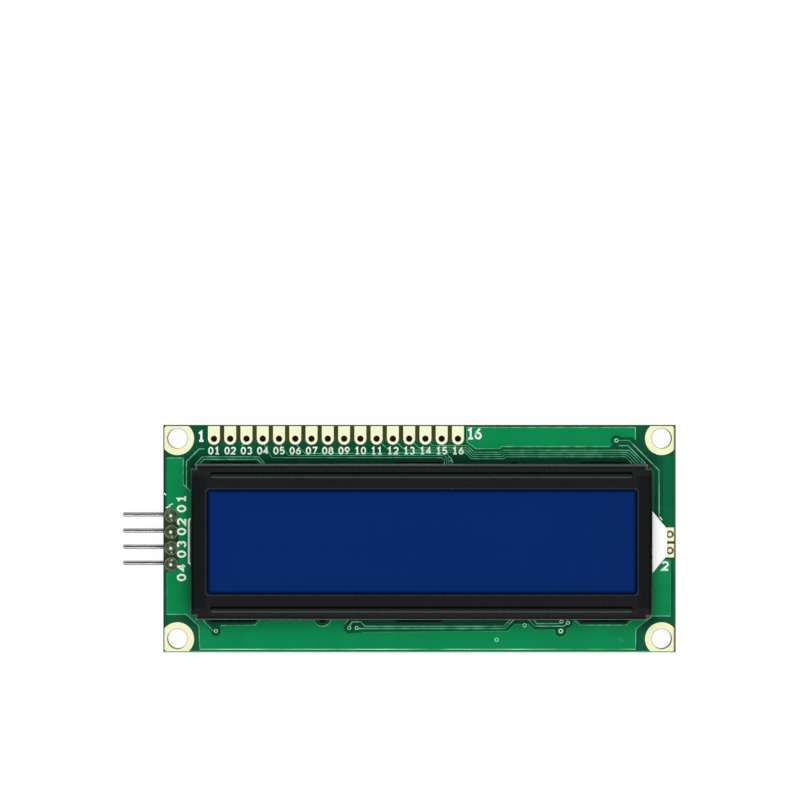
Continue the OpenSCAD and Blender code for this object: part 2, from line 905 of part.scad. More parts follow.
module transistor_leads() {
    lead_t = 0.15;
    lead_w = 0.4;
    root_z = chip_rise + (transistor_h - lead_t) / 2;
    color("silver")
    on_back(transistor_x, transistor_y)
        for (place = [[0, -0.95], [0, 0.95], [180, 0]]) {
            rotate([0, 0, place[0]])
                translate([0, place[1] + lead_w / 2, 0])
                    rotate([90, 0, 0])
                        linear_extrude(lead_w)
                            gull_wing(transistor_w / 2, root_z, transistor_w / 2 + 0.6, lead_t);
        }
}

// Body of a small part between its end caps
module small_body(h) {
    inner_l = small_part_l - 2 * end_cap_l;
    translate([-inner_l / 2, -small_part_w / 2, 0])
        cube([inner_l, small_part_w, h]);
}

module resistor_bodies() {
    color("dimgray")
    for (place = resistor_places) {
        on_back(place[0], place[1])
            small_body(resistor_h);
    }
}

module capacitor_bodies() {
    color("tan")
    for (place = capacitor_places) {
        on_back(place[0], place[1])
            small_body(capacitor_h);
    }
}

// End caps of one small part
module cap_pair(h) {
    for (side = [-1, 1]) {
        translate([side * (small_part_l - end_cap_l) / 2 - end_cap_l / 2, -small_part_w / 2, 0])
            cube([end_cap_l, small_part_w, h]);
    }
}

module chip_end_caps() {
    color("silver") {
        for (place = resistor_places) {
            on_back(place[0], place[1])
                cap_pair(resistor_h);
        }
        for (place = capacitor_places) {
            on_back(place[0], place[1])
                cap_pair(capacitor_h);
        }
    }
}

circuit_board();
pin_pads();
mounting_pads();
header_pads();
backlight_pads();
bezel();
front_polarizer();
front_glass();
glass_seal();
rear_glass();
rear_polarizer();
upper_zebra_strip();
lower_zebra_strip();
diffuser_film();
light_guide();
reflector_film();
backlight_housing();
backlight_led();
backlight_leads();
backlight_solder();
header_block();
header_pins();
header_solder();
display_controller_blob();
segment_driver_blob();
expander_chip();
expander_leads();
trimmer_base();
trimmer_rotor();
trimmer_terminals();
driver_transistor();
transistor_leads();
resistor_bodies();
capacitor_bodies();
chip_end_caps();
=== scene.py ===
"""Looks of a two-row character display module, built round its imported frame.

Shapes and patterns are in millimetres. The scales and heights of the uneven finish, the lights and the
camera are in metres. The display looks along +Z, the row of connector holes is towards +Y, and the back
face of the circuit board is at Z = 0.
"""

import json
import math

import bmesh
import bpy
import numpy as np
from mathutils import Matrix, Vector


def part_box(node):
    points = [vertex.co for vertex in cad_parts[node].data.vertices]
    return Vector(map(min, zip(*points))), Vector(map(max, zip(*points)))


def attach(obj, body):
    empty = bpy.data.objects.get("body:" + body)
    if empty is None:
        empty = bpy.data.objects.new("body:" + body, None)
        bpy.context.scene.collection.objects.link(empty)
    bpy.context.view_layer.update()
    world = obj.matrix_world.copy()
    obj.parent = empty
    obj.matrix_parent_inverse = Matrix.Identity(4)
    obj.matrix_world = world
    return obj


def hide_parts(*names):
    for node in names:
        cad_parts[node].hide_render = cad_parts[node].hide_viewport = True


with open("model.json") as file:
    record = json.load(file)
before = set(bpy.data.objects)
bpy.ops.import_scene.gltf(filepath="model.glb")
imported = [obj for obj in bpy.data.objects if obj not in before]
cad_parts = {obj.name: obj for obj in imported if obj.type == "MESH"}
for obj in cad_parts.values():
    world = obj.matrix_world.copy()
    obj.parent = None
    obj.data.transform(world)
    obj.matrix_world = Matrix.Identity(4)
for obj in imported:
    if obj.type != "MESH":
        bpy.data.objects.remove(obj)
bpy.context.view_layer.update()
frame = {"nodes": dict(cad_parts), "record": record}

MM = 0.001
MODULE = "module"


def node_box(name):
    """Lowest and highest corner of a frame node, in millimetres."""
    low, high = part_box(name)
    return np.array(low) / MM, np.array(high) / MM


def node_middle(name):
    """Middle of a frame node's box, in millimetres."""
    low, high = node_box(name)
    return (low + high) / 2


def node_half(name):
    """Half the size of a frame node's box, in millimetres."""
    low, high = node_box(name)
    return (high - low) / 2


board_low, board_high = node_box("circuit_board")
pins_low, pins_high = node_box("header_pins")
FRONT = board_high[2]
BACK = board_low[2]
FLOOR = pins_low[2]
LEG_PITCH = 2.54
leg_row_middle = node_middle("header_pins")[1]
leg_x = node_middle("header_solder")[0]
bezel_middle = node_middle("bezel")
bezel_half = node_half("bezel")
FILM_LAP = 0.6
WINDOW_R = 0.35
window_middle = node_middle("front_polarizer")
window_half = node_half("front_polarizer") - FILM_LAP
DOT_STEP = 0.6
DOT_GAP = 0.05
LAMINATE_LAYER = 0.2


# Shapes: a shape is a pair, its points and its faces

def arc(centre, radius, start, end, steps):
    """Points on a circle: centre plus radius times cosine and sine of evenly spaced angles, in degrees."""
    turn = np.radians(np.linspace(start, end, steps))
    return np.stack([centre[0] + radius * np.cos(turn), centre[1] + radius * np.sin(turn)], axis=1)


def line(*parts):
    """One run of points from single points and stretches of points."""
    return np.vstack([np.atleast_2d(np.asarray(part, float)) for part in parts])


def grid_faces(rows, cols, wrap_rows, wrap_cols):
    """Quads between neighbouring rows and columns of points numbered row by row."""
    row = np.arange(rows if wrap_rows else rows - 1)
    col = np.arange(cols if wrap_cols else cols - 1)
    row, col = np.meshgrid(row, col, indexing="ij")
    down = (row + 1) % rows
    across = (col + 1) % cols
    corners = [row * cols + col, down * cols + col, down * cols + across, row * cols + across]
    return np.stack(corners, axis=-1).reshape(-1, 4).tolist()


def sideways(path, closed):
    """Mitred sideways step at each point of a path: the mean of the normals of the two runs that meet there,
    stretched so that both runs move by exactly one unit."""
    ahead = np.roll(path, -1, axis=0) - path
    if not closed:
        ahead[-1] = ahead[-2]
    ahead = ahead / np.linalg.norm(ahead, axis=1, keepdims=True)
    behind = np.roll(ahead, 1, axis=0)
    if not closed:
        behind[0] = ahead[0]
    normal = np.stack([-ahead[:, 1] - behind[:, 1], ahead[:, 0] + behind[:, 0]], axis=1)
    size = np.linalg.norm(normal, axis=1, keepdims=True)
    return 2 * normal / np.maximum(size, 0.7) ** 2


def carried(path, section, closed=False):
    """A section of (across, up) points carried along a flat path: each point of the path, plus across times
    its sideways step, at height up."""
    section = np.asarray(section, float)
    step = sideways(path, closed)
    flat = path[:, None, :] + section[None, :, :1] * step[:, None, :]
    up = np.broadcast_to(section[None, :, 1:], flat.shape[:2] + (1,))
    points = np.concatenate([flat, up], axis=2).reshape(-1, 3)
    faces = grid_faces(len(path), len(section), closed, True)
    if not closed:
        last = (len(path) - 1) * len(section)
        faces.append(list(range(len(section))))
        faces.append(list(range(last, last + len(section))))
    return points, faces


def strip(path, width, low, high, closed=False):
    """A low raised line along a path, with its upper corners cut back by a quarter of its width."""
    half = width / 2
    top = half * 0.55
    shoulder = low + (high - low) * 0.4
    section = [(-half, low), (half, low), (half, shoulder), (top, high), (-top, high), (-half, shoulder)]
    return carried(line(*path), section, closed)


def slab(outline, low, high, rim=0.03):
    """A flat sheet: its outline at two heights and, at the top, the outline moved in by the rim, with the
    two ends closed."""
    outline = line(*outline)
    area = np.sum(outline[:, 0] * np.roll(outline[:, 1], -1) - outline[:, 1] * np.roll(outline[:, 0], -1))
    inner = outline + np.sign(area) * rim * sideways(outline, True)
    shoulder = high - math.copysign(min(rim, abs(high - low) / 2), high - low)
    rings = [(outline, low), (outline, shoulder), (inner, high)]
    points = np.vstack([np.column_stack([flat, np.full(len(flat), z)]) for flat, z in rings])
    count = len(outline)
    faces = grid_faces(3, count, False, True)
    faces.append(list(range(count)))
    faces.append(list(range(2 * count, 3 * count)))
    return points, faces


def turned(profile, centre, steps=32, closed=False):
    """A profile of (radius, height) points turned about an upright axis: radius times cosine and sine of the
    angle round the centre."""
    profile = np.asarray(profile, float)
    turn = np.linspace(0, 2 * np.pi, steps, endpoint=False)
    x = centre[0] + np.outer(np.cos(turn), profile[:, 0])
    y = centre[1] + np.outer(np.sin(turn), profile[:, 0])
    z = np.broadcast_to(profile[:, 1], x.shape)
    points = np.stack([x, y, z], axis=-1).reshape(-1, 3)
    return points, grid_faces(steps, len(profile), True, closed)


def ring(centre, inner, outer, low, high, steps=24):
    """A flat ring with a rounded top, as a closed profile turned about its centre."""
    middle = (inner + outer) / 2
    shoulder = low + (high - low) * 0.5
    profile = [(inner, low), (outer, low), (outer, shoulder), (middle + (outer - middle) * 0.5, high),
               (middle - (middle - inner) * 0.5, high), (inner, shoulder)]
    return turned(profile, centre, steps, True)


def together(shapes):
    """One shape from several: points stacked, and face numbers moved on by the points before them."""
    points = np.vstack([shape[0] for shape in shapes])
    starts = np.cumsum([0] + [len(shape[0]) for shape in shapes[:-1]])
    faces = [[start + i for i in face] for shape, start in zip(shapes, starts) for face in shape[1]]
    return points, faces


def piece(name, shapes, material, replaces=()):
    """A mesh object from shapes: doubled points merged, faces turned outwards, edges over 20 degrees
    sharp."""
    points, faces = together(shapes)
    mesh = bpy.data.meshes.new(name)
    mesh.from_pydata((points * MM).tolist(), [], faces)
    work = bmesh.new()
    work.from_mesh(mesh)
    bmesh.ops.remove_doubles(work, verts=work.verts, dist=1e-7)
    bmesh.ops.recalc_face_normals(work, faces=work.faces)
    work.to_mesh(mesh)
    work.free()
    mesh.shade_smooth()
    mesh.set_sharp_from_angle(angle=math.radians(20))
    mesh.materials.append(material)
    made = bpy.data.objects.new(name, mesh)
    bpy.context.scene.collection.objects.link(made)
    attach(made, MODULE)
    if replaces:
        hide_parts(*replaces)


# Finishes: a field is a number or a colour that changes over a surface

def add(tree, kind, **settings):
    """A shader node with some of its settings."""
    made = tree.nodes.new(kind)
    for key, value in settings.items():
        setattr(made, key, value)
    return made


def give(socket, value):
    """Links a field or an output to an input, or sets the input to a number or a colour."""
    if isinstance(value, Field):
        value = value.socket
    if isinstance(value, bpy.types.NodeSocket):
        socket.id_data.links.new(value, socket)
    else:
        socket.default_value = value


class Field:
    """A value that changes over a surface. Plain sums and comparisons with it become maths nodes."""

    def __init__(self, socket):
        self.socket = socket
        self.tree = socket.id_data

    def maths(self, operation, other=None):
        """One maths node on the field and, where it takes two values, another field or number."""
        made = add(self.tree, "ShaderNodeMath", operation=operation)
        give(made.inputs[0], self)
        if other is not None:
            give(made.inputs[1], other)
        return Field(made.outputs[0])

    def __add__(self, other):
        return self.maths("ADD", other)

    def __sub__(self, other):
        return self.maths("SUBTRACT", other)

    def __rsub__(self, other):
        return self.maths("MULTIPLY", -1.0).maths("ADD", other)

    def __mul__(self, other):
        return self.maths("MULTIPLY", other)

    def __mod__(self, other):
        return self.maths("MODULO", other)

    def __gt__(self, other):
        return self.maths("GREATER_THAN", other)

    def __lt__(self, other):
        return self.maths("LESS_THAN", other)

    def __abs__(self):
        return self.maths("ABSOLUTE")

    def larger(self, other):
        return self.maths("MAXIMUM", other)

    def smaller(self, other):
        return self.maths("MINIMUM", other)

    def ramp(self, low, high, out_low=0.0, out_high=1.0):
        """The field mapped from one range to another and held at its ends."""
        made = add(self.tree, "ShaderNodeMapRange")
        values = {"Value": self, "From Min": low, "From Max": high, "To Min": out_low, "To Max": out_high}
        for name, value in values.items():
            give(made.inputs[name], value)
        return Field(made.outputs["Result"])


def blend(share, first, second):
    """Colour that goes from the first to the second with the share."""
    made = add(share.tree, "ShaderNodeMix", data_type="RGBA")
    for i, value in ((0, share), (6, first), (7, second)):
        give(made.inputs[i], value)
    return Field(made.outputs[2])


def colour(red, green, blue):
    """Shader colour from red, green and blue as a screen shows them, 0 to 255."""
    screen = np.array([red, green, blue]) / 255
    plain = np.where(screen <= 0.04045, screen / 12.92, ((screen + 0.055) / 1.055) ** 2.4)
    return (*plain.tolist(), 1.0)


def coordinates(tree, name):
    """One of the outputs that tell a material where it is."""
    return add(tree, "ShaderNodeTexCoord").outputs[name]


def axes(vector):
    """The three parts of a vector, as fields."""
    apart = add(vector.id_data, "ShaderNodeSeparateXYZ")
    give(apart.inputs[0], vector)
    return [Field(part) for part in apart.outputs]


def place_on(tree):
    """X, Y and Z of the place on the object, in millimetres."""
    scaled = add(tree, "ShaderNodeVectorMath", operation="SCALE")
    give(scaled.inputs[0], coordinates(tree, "Object"))
    give(scaled.inputs["Scale"], 1 / MM)
    return axes(scaled.outputs[0])


def facing(tree):
    """X, Y and Z of the way the surface faces."""
    return axes(coordinates(tree, "Normal"))


def noise(tree, scale, detail=2.0):
    """Cloudy pattern from 0 to 1."""
    made = add(tree, "ShaderNodeTexNoise")
    for name, value in (("Vector", coordinates(tree, "Object")), ("Scale", scale), ("Detail", detail)):
        give(made.inputs[name], value)
    return Field(made.outputs["Fac"])


def new_group(name, inputs, outputs):
    """An empty shader group with inputs of given names and first values, and outputs of given names and
    kinds."""
    group = bpy.data.node_groups.new(name, "ShaderNodeTree")
    for label, value in inputs.items():
        kind = "NodeSocketColor" if isinstance(value, tuple) else "NodeSocketFloat"
        group.interface.new_socket(label, in_out="INPUT", socket_type=kind).default_value = value
    for label, kind in outputs.items():
        group.interface.new_socket(label, in_out="OUTPUT", socket_type=kind)
    return group, add(group, "NodeGroupInput").outputs, add(group, "NodeGroupOutput").inputs


def surface_group():
    """Uneven finish: a slow drift between two colours, a fine grain in the normal, and roughness that
    follows the grain."""
    grey = (0.5, 0.5, 0.5, 1.0)
    inputs = {"Colour": grey, "Drift Colour": grey, "Drift Scale": 200.0, "Drift Share": 0.5,
              "Grain Scale": 4000.0, "Grain Height": 0.00001, "Rough Low": 0.4, "Rough High": 0.5}
    outputs = {"Colour": "NodeSocketColor", "Roughness": "NodeSocketFloat", "Normal": "NodeSocketVector"}
    group, given, out = new_group("uneven_finish", inputs, outputs)
    drift = noise(group, given["Drift Scale"], 3.0).ramp(0.35, 0.65) * given["Drift Share"]
    grain = noise(group, given["Grain Scale"], 4.0)
    bump = add(group, "ShaderNodeBump")
    give(bump.inputs["Distance"], given["Grain Height"])
    give(bump.inputs["Height"], grain)
    give(out["Colour"], blend(drift, given["Colour"], given["Drift Colour"]))
    give(out["Roughness"], grain.ramp(0.3, 0.7, given["Rough Low"], given["Rough High"]))
    give(out["Normal"], bump.outputs["Normal"])
    return group


def weave_group():
    """Cloth of glass threads that shows faintly through the lacquer: the product of two rows of ripples, one
    along each axis, as a mask from 0 to 1."""
    group, given, out = new_group("glass_weave", {"Pitch": 0.45}, {"Mask": "NodeSocketFloat"})
    ripples = []
    for along in place_on(group)[:2]:
        threads = along.maths("DIVIDE", given["Pitch"])
        ripples.append((threads * (2 * math.pi)).maths("SINE"))
    give(out["Mask"], (ripples[0] * ripples[1]).ramp(-1.0, 1.0))
    return group


uneven_finish = surface_group()
glass_weave = weave_group()


def finish(name, base, drift, rough, drift_scale=150.0, drift_share=0.5, grain=4000.0, height=0.000004,
           metallic=0.0, specular=0.5):
    """A material with the uneven finish. Colours are as a screen shows them, rough is a low and a high
    value."""
    material = bpy.data.materials.new(name)
    material.use_nodes = True
    uneven = add(material.node_tree, "ShaderNodeGroup", node_tree=uneven_finish)
    settings = {"Colour": colour(*base), "Drift Colour": colour(*drift), "Drift Scale": drift_scale,
                "Drift Share": drift_share, "Grain Scale": grain, "Grain Height": height,
                "Rough Low": rough[0], "Rough High": rough[1]}
    for label, value in settings.items():
        give(uneven.inputs[label], value)
    shader = shader_of(material)
    give(shader["Metallic"], metallic)
    give(shader["Specular IOR Level"], specular)
    give(shader["Base Color"], uneven.outputs["Colour"])
    give(shader["Roughness"], uneven.outputs["Roughness"])
    give(shader["Normal"], uneven.outputs["Normal"])
    return material


def shader_of(material):
    """The inputs of a material's shader."""
    return material.node_tree.nodes["Principled BSDF"].inputs


def ground(material):
    """The two drifting colours that a finish starts with."""
    return Field(shader_of(material)["Base Color"].links[0].from_socket)


def painted(material, pattern):
    """The material with a pattern as its colour."""
    give(shader_of(material)["Base Color"], pattern)
    return material


def length(across, along):
    """Distance from two lengths at right angles: the root of the sum of their squares."""
    return (across * across + along * along).maths("SQRT")


def box_distance(x, y, centre, half, corner=0.0):
    """Distance from the edge of a rectangle with rounded corners, below nought inside it: the length of what
    lies beyond the corner centres, less the corner radius, with the larger inward part added inside."""
    past_x = abs(x - centre[0]) - (half[0] - corner)
    past_y = abs(y - centre[1]) - (half[1] - corner)
    outside = length(past_x.larger(0.0), past_y.larger(0.0))
    return outside + past_x.larger(past_y).smaller(0.0) - corner


def upright(tree):
    """Mask of the faces that stand upright: the walls of holes and cut edges."""
    return abs(facing(tree)[2]).ramp(0.4, 0.6, 1.0, 0.0)


def from_bezel(x, y):
    """Distance from the outline of the bezel."""
    return box_distance(x, y, bezel_middle, bezel_half)


def lacquered_board(name, base, drift, crossings, shade, edge_lines=False):
    """Green lacquer over woven glass, a little lighter where threads cross, with painted shade in the corner
    between the front face and the bezel's wall. On the board itself the cut edges show bare laminate in fine
    layers, the walls of slots and holes are painted near black as shade, and the lacquer is darker along the
    top and left edges and lighter along the right and bottom edges."""
    material = finish(name, base, drift, (0.2, 0.32), drift_scale=260.0, drift_share=0.8, grain=9000.0,
                      height=0.000002, specular=0.15)
    tree = material.node_tree
    weave = Field(add(tree, "ShaderNodeGroup", node_tree=glass_weave).outputs["Mask"])
    woven = blend(weave * 0.35, ground(material), colour(*crossings))
    x, y, z = place_on(tree)
    # Painted shade: the lacquer goes darker towards the bezel's wall, where its shade falls.
    painted_bezel_shade = from_bezel(x, y).ramp(0.1, 2.0, shade, 0.0) * z.ramp(FRONT * 0.7, FRONT * 0.9)
    surface = blend(painted_bezel_shade, woven, colour(0, 40, 26))
    if not edge_lines:
        return painted(material, surface)
    # Darker along the top and left edges, lighter along the right and bottom edges.
    top_edge = y.ramp(board_high[1] - 0.25, board_high[1] - 0.15, 0.0, 0.55)
    left_edge = x.ramp(board_low[0] + 0.15, board_low[0] + 0.25, 0.55, 0.0)
    right_edge = x.ramp(board_high[0] - 0.3, board_high[0] - 0.2, 0.0, 0.8)
    low_edge = y.ramp(board_low[1] + 0.05, board_low[1] + 0.3, 0.8, 0.0)
    surface = blend(top_edge.larger(left_edge), surface, colour(10, 34, 24))
    surface = blend(right_edge, surface, colour(58, 92, 70))
    surface = blend(low_edge, surface, colour(104, 184, 138))
    layers = (z * (2 * math.pi / LAMINATE_LAYER)).maths("SINE").ramp(-1.0, 1.0)
    cut_edge = blend(layers, colour(92, 88, 48), colour(128, 122, 74))
    # Painted shade: upright walls more than a millimetre inside the outline, those of slots and holes, are
    # painted near black.
    from_side = (abs(x) - board_high[0]).larger(abs(y) - board_high[1])
    laminate = blend(from_side.ramp(-1.0, -0.5, 1.0, 0.0), cut_edge, colour(16, 18, 12))
    return painted(material, blend(upright(tree), surface, laminate))


def plated(name, base, drift, drift_scale, bore=None):
    """Pale tin over copper, dull along the right-hand edge of the board. The walls of the plated holes are
    painted dark brown as shade inside the holes. Where a bore is given, as its centre in the first quarter
    and its radius, the walls stay pale and a thin line of painted shade runs round each of the four."""
    material = finish(name, base, drift, (0.3, 0.45), drift_scale=drift_scale, drift_share=0.6, grain=6000.0,
                      height=0.000006, metallic=0.15)
    x, y = place_on(material.node_tree)[:2]
    at_edge = x.ramp(board_high[0] - 0.38, board_high[0] - 0.28, 0.0, 0.85)
    surface = blend(at_edge, ground(material), colour(98, 100, 78))
    # Painted shade: the walls of the plated holes are dark brown.
    walls = colour(58, 46, 22)
    if bore:
        bore_x, bore_y, radius = bore
        # Painted shade: a thin dull line round the edge of each bore.
        rim = length(abs(x) - bore_x, abs(y) - bore_y).ramp(radius + 0.03, radius + 0.11, 0.85, 0.0)
        surface = blend(rim, surface, colour(96, 92, 84))
        walls = colour(150, 146, 124)
    return painted(material, blend(upright(material.node_tree), surface, walls))


def from_leg_row(y):
    """Distance along Y from the nearest of the header's four legs: the place in its own step of the row,
    less half a step."""
    return (y - (leg_row_middle - 10 * LEG_PITCH)) % LEG_PITCH - LEG_PITCH / 2


def spot(along, across, radius):
    """Mask of a round spot with a soft edge, from its two distances."""
    return length(along, across).ramp(radius * 0.6, radius * 1.2, 1.0, 0.0)


def joint_solder():
    """Header solder: olive and stained, with thin paler rings painted as reflections near the pad and
    partway up its side, and painted highlights on the leg's end and on a smaller spot beside it, above the
    end on the lowest leg and below it on the others."""
    material = finish("stained_solder", (112, 126, 98), (38, 56, 32), (0.2, 0.4), drift_scale=1100.0,
                      drift_share=1.0, grain=2500.0, height=0.00002)
    x, y, z = place_on(material.node_tree)
    across = x - leg_x
    along = from_leg_row(y)
    # Painted reflections: two thin paler rings, one near the pad and one partway up the side.
    low_ring_reflection = z.ramp(FRONT + 0.06, FRONT + 0.09, 0.55, 0.0)
    high_ring_reflection = abs(z - (FRONT + 0.26)).ramp(0.01, 0.06, 0.4, 0.0)
    painted_reflection_rings = blend(low_ring_reflection.larger(high_ring_reflection), ground(material), colour(138, 158, 124))
    above_lowest = leg_row_middle - LEG_PITCH
    step = y.ramp(above_lowest - 0.1, above_lowest + 0.1, -0.68, 0.68)
    # Painted highlights: a glint on the leg's end and a smaller one beside it; there the metal is turned
    # down.
    facet = spot(along + step, across - 0.08, 0.15)
    bright = spot(along, across, 0.26).larger(facet * 0.75)
    give(shader_of(material)["Metallic"], bright.ramp(0.0, 1.0, 0.35, 0.1))
    return painted(material, blend(bright, painted_reflection_rings, colour(253, 254, 248)))


def pin_metal():
    """Tinned header pins: a dark streak painted along the middle of each as a reflection, grey above it and
    a painted highlight below it, with painted shade along the edges, and dark marks at the cut ends."""
    material = finish("pin_plating", (206, 204, 198), (182, 178, 172), (0.2, 0.34), drift_scale=500.0,
                      grain=3500.0, metallic=0.25)
    x, y = place_on(material.node_tree)[:2]
    across = from_leg_row(y)
    wander = noise(material.node_tree, 900.0).ramp(0.3, 0.7, -0.03, 0.03)
    end = x.ramp(pins_low[0] + 0.15, pins_low[0] + 0.3, 1.0, 0.0)
    # Painted reflection: a dark streak along the middle of each pin.
    streak = abs(across + wander - 0.04).ramp(0.08, 0.12, 0.97, 0.0) * (1.0 - end)
    # Painted highlight on the lower half of each pin.
    lower_half_highlight = blend(across.ramp(-0.05, 0.05), colour(252, 252, 246), ground(material))
    streaked = blend(streak, lower_half_highlight, colour(30, 28, 25))
    # Painted shade along the edges of each pin, and dark marks at the cut ends.
    edge_shade = abs(across - 0.03).ramp(0.2, 0.25, 0.0, 0.9)
    at_end = end * abs(across).ramp(0.1, 0.18, 0.1, 1.0)
    return painted(material, blend(edge_shade.larger(at_end), streaked, colour(84, 82, 74)))


mask_over_laminate = lacquered_board("mask_over_laminate", (9, 84, 55), (4, 64, 43), (18, 98, 64), 0.75,
                                     True)
mask_over_copper = lacquered_board("mask_over_copper", (2, 131, 74), (1, 121, 69), (5, 142, 82), 0.3)
mask_over_dull_copper = lacquered_board("mask_over_dull_copper", (2, 97, 58), (1, 89, 53), (4, 105, 63), 0.2)
# Pale green of tracks and pour edges: thinner lacquer over copper, and along the pour edges partly a painted
# highlight.
thin_mask = finish("thin_mask_and_highlight_on_copper_edge", (112, 200, 154), (30, 136, 88), (0.25, 0.4), 700.0, 0.9,
                   specular=0.4)
# Fainter pale pour edges: thinner lacquer over copper, and partly a painted highlight.
faint_mask = finish("faint_mask_and_highlight_on_copper_edge", (38, 152, 100), (10, 132, 80), (0.25, 0.4), 500.0, 0.9,
                    specular=0.3)
# Very pale bottom pour edge: thinner lacquer over copper, and partly a painted highlight.
bright_edge = finish("thin_mask_and_highlight_on_bottom_edge", (190, 255, 220), (36, 172, 112), (0.25, 0.4), 110.0, 1.0,
                     specular=0.4)
via_rim = finish("via_rim", (180, 252, 212), (116, 216, 166), (0.25, 0.4), 600.0, specular=0.4)
via_core = finish("via_core", (8, 58, 40), (6, 48, 32), (0.3, 0.5), 600.0, specular=0.3)
bare_laminate = finish("bare_laminate", (62, 68, 32), (42, 48, 20), (0.5, 0.65), 900.0, specular=0.3)
stained_laminate = finish("stained_laminate", (42, 60, 34), (26, 44, 22), (0.4, 0.6), 1100.0, 0.9,
                          specular=0.4)
stained_pad = finish("stained_pad", (126, 142, 112), (50, 72, 46), (0.25, 0.45), 1000.0, 1.0, height=0.00001,
                     metallic=0.2)
flux_ring = finish("flux_ring", (104, 94, 54), (72, 64, 30), (0.4, 0.6), 1200.0, specular=0.3)
pad_plating = plated("pad_plating", (254, 255, 218), (254, 254, 202), 260.0)
fixing = frame["record"]["mounts"][0]["dims"]
fixing_bores = (fixing["spacing_x_mm"] / 2, fixing["spacing_y_mm"] / 2, fixing["hole_r_mm"])
ring_plating = plated("ring_plating", (252, 254, 210), (254, 248, 200), 200.0, fixing_bores)
legend_ink = finish("legend_ink", (236, 252, 238), (222, 246, 224), (0.55, 0.7), 900.0, height=0.000006,
                    specular=0.3)
white_moulding = finish("white_moulding", (253, 254, 253), (249, 250, 250), (0.35, 0.5), grain=5000.0,
                        height=0.000003, specular=0.4)
solder = joint_solder()
bright_solder = finish("bright_solder", (214, 214, 210), (184, 184, 180), (0.18, 0.32), 900.0, grain=3000.0,
                       height=0.00001, metallic=0.35)
pin_plating = pin_metal()
lead_plating = finish("lead_plating", (212, 212, 206), (186, 186, 180), (0.24, 0.4), 900.0, metallic=0.35)
tin_solder = finish("tin_solder", (206, 206, 200), (172, 172, 164), (0.16, 0.3), 1400.0, grain=2500.0,
                    height=0.00002, metallic=0.3)
header_plastic = finish("header_plastic", (22, 22, 22), (30, 30, 30), (0.45, 0.6), grain=9000.0,
                        height=0.000006, specular=0.3)
chip_plastic = finish("chip_plastic", (34, 34, 36), (44, 44, 45), (0.6, 0.78), 400.0, grain=16000.0,
                      height=0.000006, specular=0.3)
blob_resin = finish("blob_resin", (12, 12, 13), (20, 20, 20), (0.12, 0.3), 180.0, grain=900.0,
                    height=0.00004, specular=0.4)
trimmer_plastic = finish("trimmer_plastic", (24, 70, 160), (20, 60, 142), (0.3, 0.42), specular=0.4)
rotor_plastic = finish("rotor_plastic", (236, 236, 226), (224, 222, 208), (0.4, 0.55), specular=0.4)
resistor_glass = finish("resistor_glass", (24, 24, 28), (34, 34, 38), (0.25, 0.4), specular=0.4)
capacitor_ceramic = finish("capacitor_ceramic", (168, 134, 98), (152, 118, 84), (0.45, 0.6), specular=0.3)
lamp_resin = finish("lamp_resin", (226, 222, 170), (236, 234, 200), (0.2, 0.3))
zebra_rubber = finish("zebra_rubber", (92, 92, 94), (70, 70, 72), (0.6, 0.8))
seal_resin = finish("seal_resin", (66, 66, 64), (56, 56, 54), (0.4, 0.6))
film_white = finish("frosted_film", (238, 240, 242), (232, 234, 238), (0.5, 0.6))
film_grey = finish("rear_film", (92, 98, 108), (86, 92, 100), (0.3, 0.4))
reflector_film = finish("reflector_film", (235, 235, 235), (228, 228, 230), (0.15, 0.25), metallic=0.8)


def bezel_paint():
    """Black paint with a fine orange-peel grain, a painted sheen on the two outer strips of the face and
    darker beside the window, painted shade on the upper wall of each bead and a painted highlight on the
    lower one, a painted dark line just inside the top bend, painted highlights along the top and bottom
    bends and round the window, and worn thin where the corner reliefs were sheared."""
    material = finish("bezel_paint", (15, 17, 19), (18, 20, 22), (0.24, 0.32), 60.0, 0.7, grain=5200.0,
                      height=0.0000003)
    tree = material.node_tree
    x, y = place_on(tree)[:2]
    slope = facing(tree)[1]
    off_x = abs(x - bezel_middle[0])
    off_y = abs(y - bezel_middle[1])
    half_w, half_h = bezel_half[:2]
    on_bead = off_y.ramp(half_h - 2.3, half_h - 2.2) * off_y.ramp(half_h - 1.0, half_h - 0.9, 1.0, 0.0)
    above = y - (bezel_middle[1] + half_h)
    painted_shade_before_bend = above.ramp(-0.54, -0.46) * above.ramp(-0.34, -0.26, 0.9, 0.0)
    near_relief = off_x.ramp(half_w - 1.15, half_w - 0.95) * off_y.ramp(half_h - 0.95, half_h - 0.75)
    surface = ground(material)
    for share, shade in (
        (off_x.ramp(half_w - 2.5, half_w - 2.1, 0.0, 0.8), (8, 10, 11)),
        # Painted sheen: the two outer strips of the face a little greyer.
        (off_y.ramp(half_h - 2.0, half_h - 1.6, 0.0, 0.7), (24, 28, 27)),
        # Painted shade on the upper wall of each bead.
        (on_bead * slope.ramp(-0.45, -0.2, 0.85, 0.0), (1, 2, 3)),
        # Painted highlight on the lower wall of each bead.
        (on_bead * slope.ramp(0.3, 0.55, 0.0, 0.9), (42, 44, 46)),
        # Painted highlight round the window's edge.
        (from_window(x, y).ramp(0.08, 0.2, 0.75, 0.0), (48, 52, 62)),
        # Painted shade: a dark line just inside the top bend.
        (painted_shade_before_bend, (3, 4, 4)),
        # Painted highlight along the top and bottom bends.
        (off_y.ramp(half_h - 0.14, half_h - 0.04, 0.0, 0.7), (66, 72, 70)),
        (near_relief * 0.45, (104, 110, 106)),
    ):
        surface = blend(share, surface, colour(*shade))
    return painted(material, surface)


def from_window(x, y):
    """Distance from the edge of the bezel's window."""
    return box_distance(x, y, window_middle, window_half, WINDOW_R)


